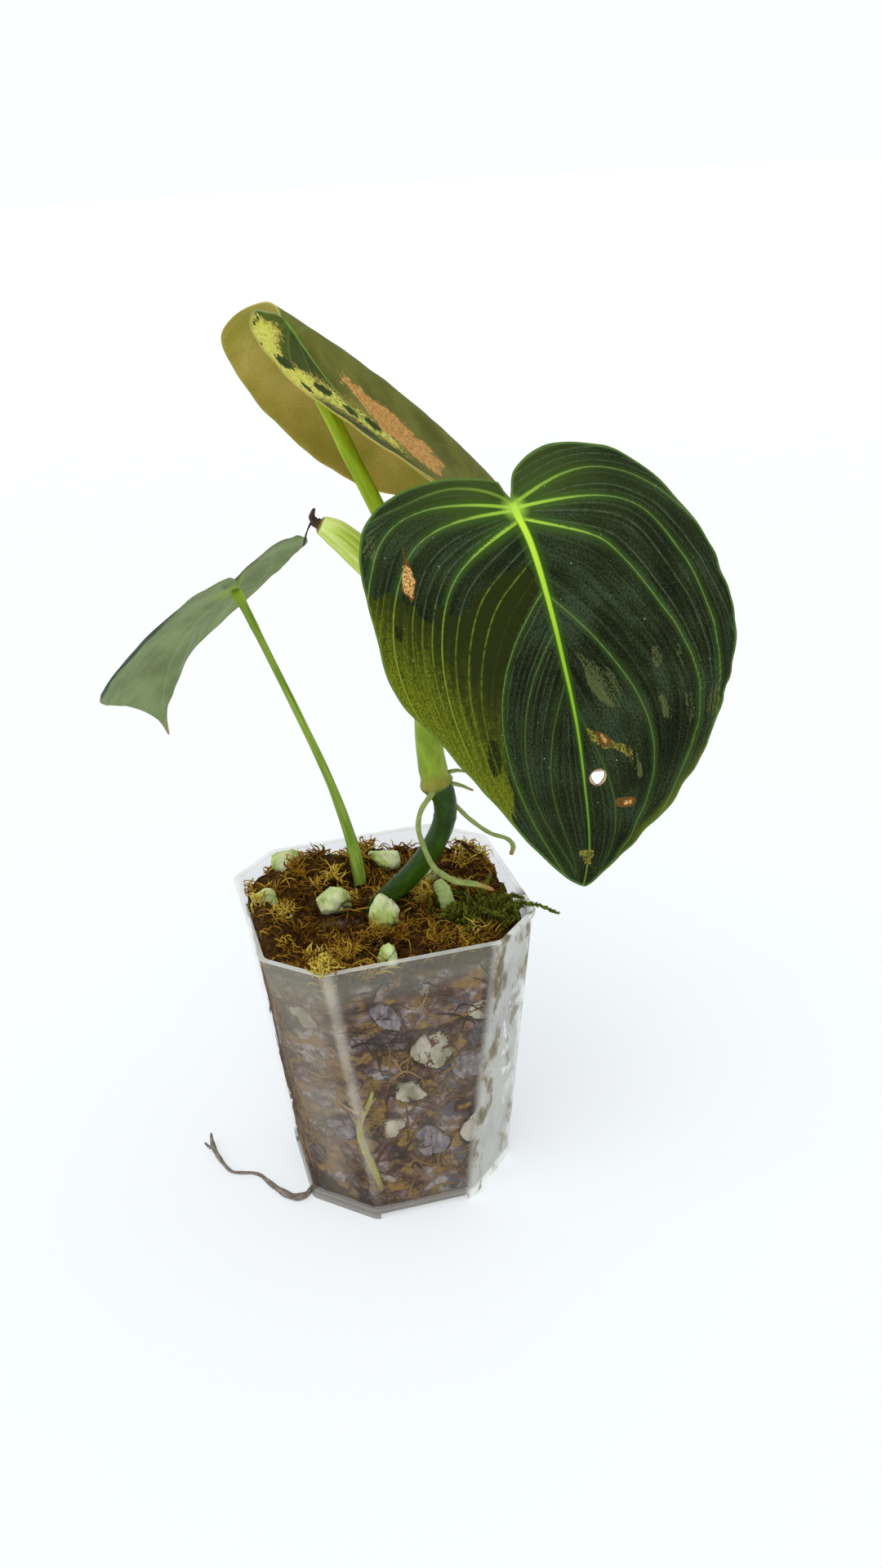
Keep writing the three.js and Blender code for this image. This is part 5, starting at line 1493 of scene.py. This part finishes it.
def front_leaf_finish():
    """Blackish-green velvet with painted sheen and highlights, lime veins, an olive sector, a torn brown place
    and small blemishes.
    """
    f = Finish("velvet_blade")
    m = vein_masks(f, LEAF_A, 0.38)
    ragged = f.noise_over("flat", (0.5, 0.7, 1), 4, 0.7)
    streaks = streaks_between(f, m)
    grain = f.noise_over("flat", (3.2, 3.2, 1), 3, 0.75)
    mottle = f.noise_over("flat", (1.6, 2.2, 1), 4, 0.7)
    clouds = f.noise_over("flat", (0.05, 0.05, 1))
    edge = f.field("edge")
    border = (ragged - 0.5) * 1.6 + m.jag
    # Painted sheen: clouds, streaks along the side veins and mottle drive a tone ramp that paints the velvet's
    # sheen into the colour.
    painted_sheen = clouds * 0.4 + ((streaks - 0.5) * m.share.step(0.75, 0.25, 0.5, 1) + 0.5) * 0.4 + mottle * 0.2
    notch = m.reach.step(34, 8) * m.share.step(0.04, -0.04)
    scuffs = f.area("pale", border * 1.8) * (mottle * 0.5 + streaks * 0.5).step(0.45, 0.55)
    dark = f.coats(
        f.ramp(painted_sheen, (0.42, (0.004, 0.006, 0.003)), (0.5, (0.015, 0.021, 0.006)),
               (0.6, (0.036, 0.056, 0.028))),
        (mottle.step(0.52, 0.38) * 0.85, (0.004, 0.006, 0.003)),
        # Painted highlights: the lighter mottle coat.
        (mottle.step(0.54, 0.68) * 0.5, (0.055, 0.08, 0.035)),
        # Painted sheen: the blade towards the stalk and its lobes made lighter.
        (m.share.step(0.3, -0.05) * 0.14, (0.06, 0.1, 0.035)),
        (notch * 0.7, (0.045, 0.07, 0.012)),
        (m.halo * (m.near * 0.4 + 0.45), (0.05, 0.11, 0.012)),
        (m.rib_halo * 0.7, (0.05, 0.12, 0.01)),
        (scuffs * 0.75, (0.1, 0.115, 0.04)),
    )
    outwards = m.across / LEAF_A["half_width"]
    level = m.share * 1.4 + outwards * 1.1 - 1.02 + (streaks - 0.5) * 0.6 + (ragged - 0.5) * 0.5
    light = f.coats(
        f.ramp(level, (0.0, (0.018, 0.023, 0.004)), (0.18, (0.036, 0.045, 0.004)),
               (0.36, (0.09, 0.11, 0.005)), (0.62, (0.155, 0.185, 0.008))),
        (mottle.step(0.56, 0.36) * 0.8, (0.024, 0.03, 0.004)),
        (mottle.step(0.55, 0.66) * level.step(0.1, 0.4) * 0.55, (0.28, 0.31, 0.03)),
        (f.area("flecks", border * 1.8) * mottle.step(0.44, 0.49), (0.008, 0.012, 0.004)),
    )
    olive = f.area("sector", border * 1.5)
    right_edge = m.across.step(-8, -16) * m.share.step(0.62, 0.78) * edge.step(3.4, 0.6)
    fine_colour = f.blend(olive, (0.1, 0.14, 0.07), (0.22, 0.29, 0.03))
    line_colour = f.blend(m.near, (0.18, 0.3, 0.08), (0.38, 0.62, 0.06))
    line_colour = f.blend(olive, line_colour, (0.25, 0.36, 0.04))
    rib_colour = f.ramp(m.share, (0.02, (0.54, 0.78, 0.06)), (0.35, (0.3, 0.52, 0.03)),
                        (0.62, (0.19, 0.36, 0.03)), (0.95, (0.15, 0.24, 0.04)))
    yellow = f.blend(ragged.step(0.45, 0.6), (0.14, 0.11, 0.02), (0.34, 0.32, 0.04))
    brown = f.ramp(mottle, (0.3, (0.03, 0.018, 0.008)), (0.65, (0.2, 0.1, 0.02)))
    buff = f.ramp(mottle, (0.32, (0.16, 0.07, 0.02)), (0.48, (0.48, 0.24, 0.06)), (0.6, (0.76, 0.5, 0.22)))
    tear = f.area("tear", border * 0.45)
    dust = f.cells(f.vector("flat", (0.26, 0.26, 1)), 1.0).step(0.055, 0.035) * clouds.step(0.4, 0.6)
    blade = f.coats(
        f.blend(olive, dark, light),
        (right_edge * 0.8, (0.1, 0.12, 0.012)),
        (m.fine * (m.share.step(0.6, 0.2) * 0.25 + 0.25), fine_colour),
        (m.line * (m.near * 0.3 + 0.64 - m.share.step(0.25, 0.75) * 0.26), line_colour),
        (m.rib, rib_colour),
        (m.reach.step(4.2, 0.5) * 0.75, (0.4, 0.66, 0.07)),
        (edge.step(0.9, 0.2) * 0.7, (0.12, 0.22, 0.04)),
        (f.area("yellow", border * 1.2) * mottle.step(0.42, 0.52) * 0.85, yellow),
        (tear, brown),
        (f.area("tan", border * 1.1) * mottle.step(0.41, 0.47), buff),
        (f.field("hole").step(-0.55, -0.35), (0.5, 0.36, 0.2)),
        (dust * 0.8, (0.5, 0.55, 0.5)),
    )
    roughness = 0.5 + grain * 0.2 + tear * 0.2
    bumps = grain * 0.25 - m.line * 0.5 - m.fine * 0.45 + ragged * 0.1 - tear * 0.6
    return f.surface(blade, roughness, bumps, 0.22, Specular_IOR_Level=0.07, Specular_Tint=VELVET_TINT)


def under_finish(name, leaf, dark, light, vein, strong=1.0, rolled=None):
    """A leaf's underside: matt, with paler raised veins. Rolled is the colour of a margin turned under."""
    f = Finish(name)
    m = vein_masks(f, leaf, 0.9)
    grain = f.noise_over("flat", (1.6, 1.6, 1), 3, 0.6)
    clouds = f.noise_over("flat", (0.05, 0.05, 1))
    blade = f.coats(
        f.blend((clouds * 0.8 + grain * 0.2).step(0.35, 0.65), dark, light),
        (grain.step(0.55, 0.35) * 0.2, tuple(0.5 * c for c in dark)),
        (m.halo * 0.2 * strong, vein),
        (m.fine * 0.15 * strong, vein),
        (m.line * 0.35 * strong, vein),
        (m.rib * 0.8 * strong, vein),
        (m.reach.step(9, 1.5) * 0.85, (0.33, 0.46, 0.06)),
        (m.share.step(0.86, 0.98), (0.4, 0.3, 0.16)),
    )
    if rolled:
        upper = m.share.step(-0.12, 0.0) * m.share.step(0.42, 0.3)
        turned = f.field("edge").step(4.6, 3.6) * f.field("rib").step(-4, -8) * upper
        blade = f.blend(turned * 0.9, blade, rolled)
    bumps = grain * 0.2 + m.line * 0.6 * strong + m.fine * 0.3 * strong
    return f.surface(blade, 0.6, bumps, 0.15, Specular_IOR_Level=0.08)


def upper_leaf_finish():
    """Olive-dark velvet with yellow patches on the near half and a salmon patch beside the midrib."""
    f = Finish("variegated_blade")
    m = vein_masks(f, LEAF_B, 0.5)
    ragged = f.noise_over("flat", (0.45, 0.6, 1), 5, 0.7)
    grain = f.noise_over("flat", (2.6, 2.6, 1), 3, 0.75)
    clouds = f.noise_over("flat", (0.06, 0.06, 1))
    speckle = f.noise_over("flat", (1.0, 1.3, 1), 4, 0.7)
    yellow = f.field("yellow")
    border = (ragged - 0.5) * 2.2 + (grain - 0.5) * 0.8 + m.jag
    far = f.coats(
        f.blend(clouds.step(0.35, 0.65), (0.095, 0.1, 0.016), (0.16, 0.16, 0.03)),
        (grain.step(0.6, 0.35) * 0.35, (0.045, 0.05, 0.01)),
        (m.halo * 0.3, (0.1, 0.12, 0.02)),
    )
    near = f.coats(
        f.blend(clouds.step(0.3, 0.7), (0.034, 0.05, 0.008), (0.06, 0.08, 0.013)),
        (grain.step(0.6, 0.35) * 0.3, (0.02, 0.03, 0.005)),
        (m.share.step(0.03, -0.04) * 0.6, (0.09, 0.13, 0.015)),
    )
    cream = f.ramp(ragged * 0.55 + grain * 0.45, (0.3, (0.36, 0.35, 0.035)), (0.48, (0.6, 0.58, 0.09)),
                   (0.68, (0.78, 0.74, 0.25)))
    cream = f.blend(yellow.step(3.2, 0.4) * ragged.step(0.56, 0.48) * 0.85, cream, (0.34, 0.18, 0.03))
    whole = speckle + yellow.step(0, 4) * 0.07 - m.share.step(0, 0.15) * 0.05
    mottled = f.area("yellow", border * 1.9, 0.15) * whole.step(0.465, 0.5)
    rust = yellow.step(-3.4, -0.6) * (1 - mottled) * m.share.step(0.04, 0.12)
    blush = f.ramp(speckle * 0.6 + ragged * 0.4, (0.38, (0.24, 0.12, 0.02)), (0.5, (0.46, 0.23, 0.055)),
                   (0.6, (0.62, 0.38, 0.15)))
    blade = f.coats(
        f.blend(f.field("rib").step(-0.2, 0.2), far, near),
        (m.fine * 0.3, (0.15, 0.17, 0.05)),
        (m.line * 0.3, (0.17, 0.22, 0.05)),
        (rust * speckle.step(0.5, 0.54), (0.3, 0.22, 0.04)),
        (mottled, cream),
        (f.area("blots", border * 1.6, 0.15), (0.03, 0.045, 0.006)),
        (grain.step(0.56, 0.62) * ragged.step(0.5, 0.54) * mottled, (0.08, 0.1, 0.012)),
        (f.area("salmon", border * 4, 0.15) * speckle.step(0.38, 0.42), blush),
        (m.rib * 0.9, (0.14, 0.27, 0.04)),
        (f.field("edge").step(0.8, 0.2) * 0.7, (0.36, 0.36, 0.15)),
    )
    bumps = grain * 0.25 - m.line * 0.5 - m.fine * 0.4
    return f.surface(blade, 0.6 + grain * 0.2, bumps, 0.2,
                     Specular_IOR_Level=0.06, Specular_Tint=(0.6, 0.6, 0.3, 1))


def plain_leaf_finish():
    """The left leaf's upper face: the same dark velvet green with painted sheen and highlights, and lime
    veins, without marks.
    """
    f = Finish("left_blade")
    m = vein_masks(f, LEAF_C, 0.38)
    grain = f.noise_over("flat", (2.6, 2.6, 1), 3, 0.7)
    clouds = f.noise_over("flat", (0.05, 0.05, 1))
    # Painted sheen: clouds and streaks along the side veins drive a tone ramp that paints the velvet's sheen
    # into the colour.
    painted_sheen = clouds * 0.6 + streaks_between(f, m) * 0.4
    blade = f.coats(
        f.ramp(painted_sheen, (0.38, (0.005, 0.008, 0.004)), (0.5, (0.014, 0.022, 0.008)),
               (0.64, (0.028, 0.044, 0.022))),
        # Painted highlights: the lighter grain coat.
        (grain.step(0.5, 0.75) * 0.4, (0.03, 0.045, 0.022)),
        (m.halo * 0.55, (0.045, 0.085, 0.012)),
        (m.rib_halo * 0.7, (0.05, 0.12, 0.01)),
        (m.fine * 0.4, (0.1, 0.14, 0.07)),
        (m.line * 0.8, f.blend(m.near, (0.15, 0.24, 0.06), (0.32, 0.52, 0.05))),
        (m.rib, (0.4, 0.62, 0.03)),
    )
    bumps = grain * 0.25 - m.line * 0.5 - m.fine * 0.4
    roughness = 0.5 + grain * 0.2
    return f.surface(blade, roughness, bumps, 0.22, Specular_IOR_Level=0.07, Specular_Tint=VELVET_TINT)


def build_leaves():
    turns = np.linspace(0, 2 * math.pi, 16, endpoint=False)
    size = (HOLE[2] / LEAF_A["length"], HOLE[2] / LEAF_A["half_width"])
    round_hole = np.array(HOLE[:2]) + np.column_stack([np.cos(turns), np.sin(turns)]) * size
    leaves = (
        ("front_leaf", "leaf_a", LEAF_A, "velvet_blade", 0.95, dict(FRONT_MARKS, hole=[round_hole]), HOLE,
         front_leaf_finish, dict(dark=(0.1, 0.085, 0.035), light=(0.16, 0.15, 0.06), vein=(0.28, 0.32, 0.1))),
        ("upper_leaf", "leaf_b", LEAF_B, "variegated_blade", 0.28, UPPER_MARKS, None, upper_leaf_finish,
         dict(dark=(0.34, 0.3, 0.045), light=(0.52, 0.4, 0.1), vein=(0.46, 0.44, 0.14), strong=0.4)),
        ("left_leaf", "leaf_c", LEAF_C, "blade_underside", 0.35, {}, None, plain_leaf_finish,
         dict(dark=(0.17, 0.22, 0.085), light=(0.27, 0.35, 0.15), vein=(0.32, 0.42, 0.19), strong=0.4,
              rolled=(0.03, 0.065, 0.05))),
    )
    for name, node, leaf, slot, quilt, patches, hole, upper_finish, beneath in leaves:
        sheet = leaf_sheet(name, leaf, quilt, patches, hole)
        under = under_finish(name + "_under", leaf, **beneath)
        piece = show(name, sheet, slot, upper_finish(), under, replaces=[node])
        wall = piece.modifiers.new("thickness", "SOLIDIFY")
        wall.thickness = BLADE * MM
        wall.offset = -1
        wall.material_offset = 1
        wall.material_offset_rim = 1


# Stage, lights and camera
def build_stage():
    """An evenly glowing pale floor inside a pale ring, under a soft window."""
    stage_piece("floor", FLOOR_REACH, 0, glowing("pale_floor", (0.45, 0.46, 0.47), 0.7, 0.51, 0.1))
    stage_piece("pale_ring", RING_REACH, RING_HEIGHT, glowing("pale_ring", (0, 0, 0), 1, 1.035, 0))
    world = bpy.data.worlds.new("pale_room")
    world.use_nodes = True
    world.node_tree.nodes["Background"].inputs[0].default_value = (0.95, 0.975, 1, 1)
    world.node_tree.nodes["Background"].inputs[1].default_value = ROOM_LIGHT
    bpy.context.scene.world = world
    bpy.context.scene.view_settings.view_transform = "Standard"
    sun = bpy.data.lights.new("window", "SUN")
    sun.energy = WINDOW_LIGHT
    sun.angle = math.radians(50)
    lamp = add_object("window", sun)
    lamp.rotation_euler = Vector((0.35, 0.45, -0.85)).to_track_quat("-Z", "Y").to_euler()


def glowing(name, colour, roughness, glow, shine):
    return Finish(name).surface(colour, roughness, Emission_Color=PALE_LIGHT, Emission_Strength=glow,
                                Specular_IOR_Level=shine)


def stage_piece(name, radius, height, material):
    """A round floor, or with a height the open wall of a ring that stands on it."""
    bm = bmesh.new()
    if height:
        bmesh.ops.create_cone(bm, cap_ends=False, segments=96, radius1=radius, radius2=radius, depth=height)
        bmesh.ops.translate(bm, verts=bm.verts[:], vec=(0, 0, height / 2))
    else:
        bmesh.ops.create_circle(bm, cap_ends=True, segments=96, radius=radius)
    piece = add_object(name, to_mesh(bm, name))
    piece.data.materials.append(material)


def build_camera():
    """The photograph's camera, turned from the level frame of the view into the part's frame."""
    forward = Vector((0, math.cos(VIEW_DROP), -math.sin(VIEW_DROP)))
    right = Vector((1, 0, 0))
    up = right.cross(forward)
    turned_right = right * math.cos(VIEW_ROLL) + up * math.sin(VIEW_ROLL)
    turned_up = up * math.cos(VIEW_ROLL) - right * math.sin(VIEW_ROLL)
    place = Vector(VIEW_TARGET) - forward * VIEW_DISTANCE
    to_part = Matrix.Rotation(-VIEW_TURN, 3, "Z")
    axes = Matrix([to_part @ turned_right, to_part @ turned_up, -(to_part @ forward)]).transposed()
    data = bpy.data.cameras.new("camera")
    data.sensor_width = SENSOR_WIDTH
    data.lens = LENS
    data.clip_start = 0.01
    camera = add_object("camera", data)
    camera.matrix_world = Matrix.Translation(to_part @ place * MM) @ axes.to_4x4()
    bpy.context.scene.camera = camera


build_camera()
build_stage()
build_pot()
build_mix()
build_green_moss()
build_lumps()
build_stem_and_roots()
build_leaves()
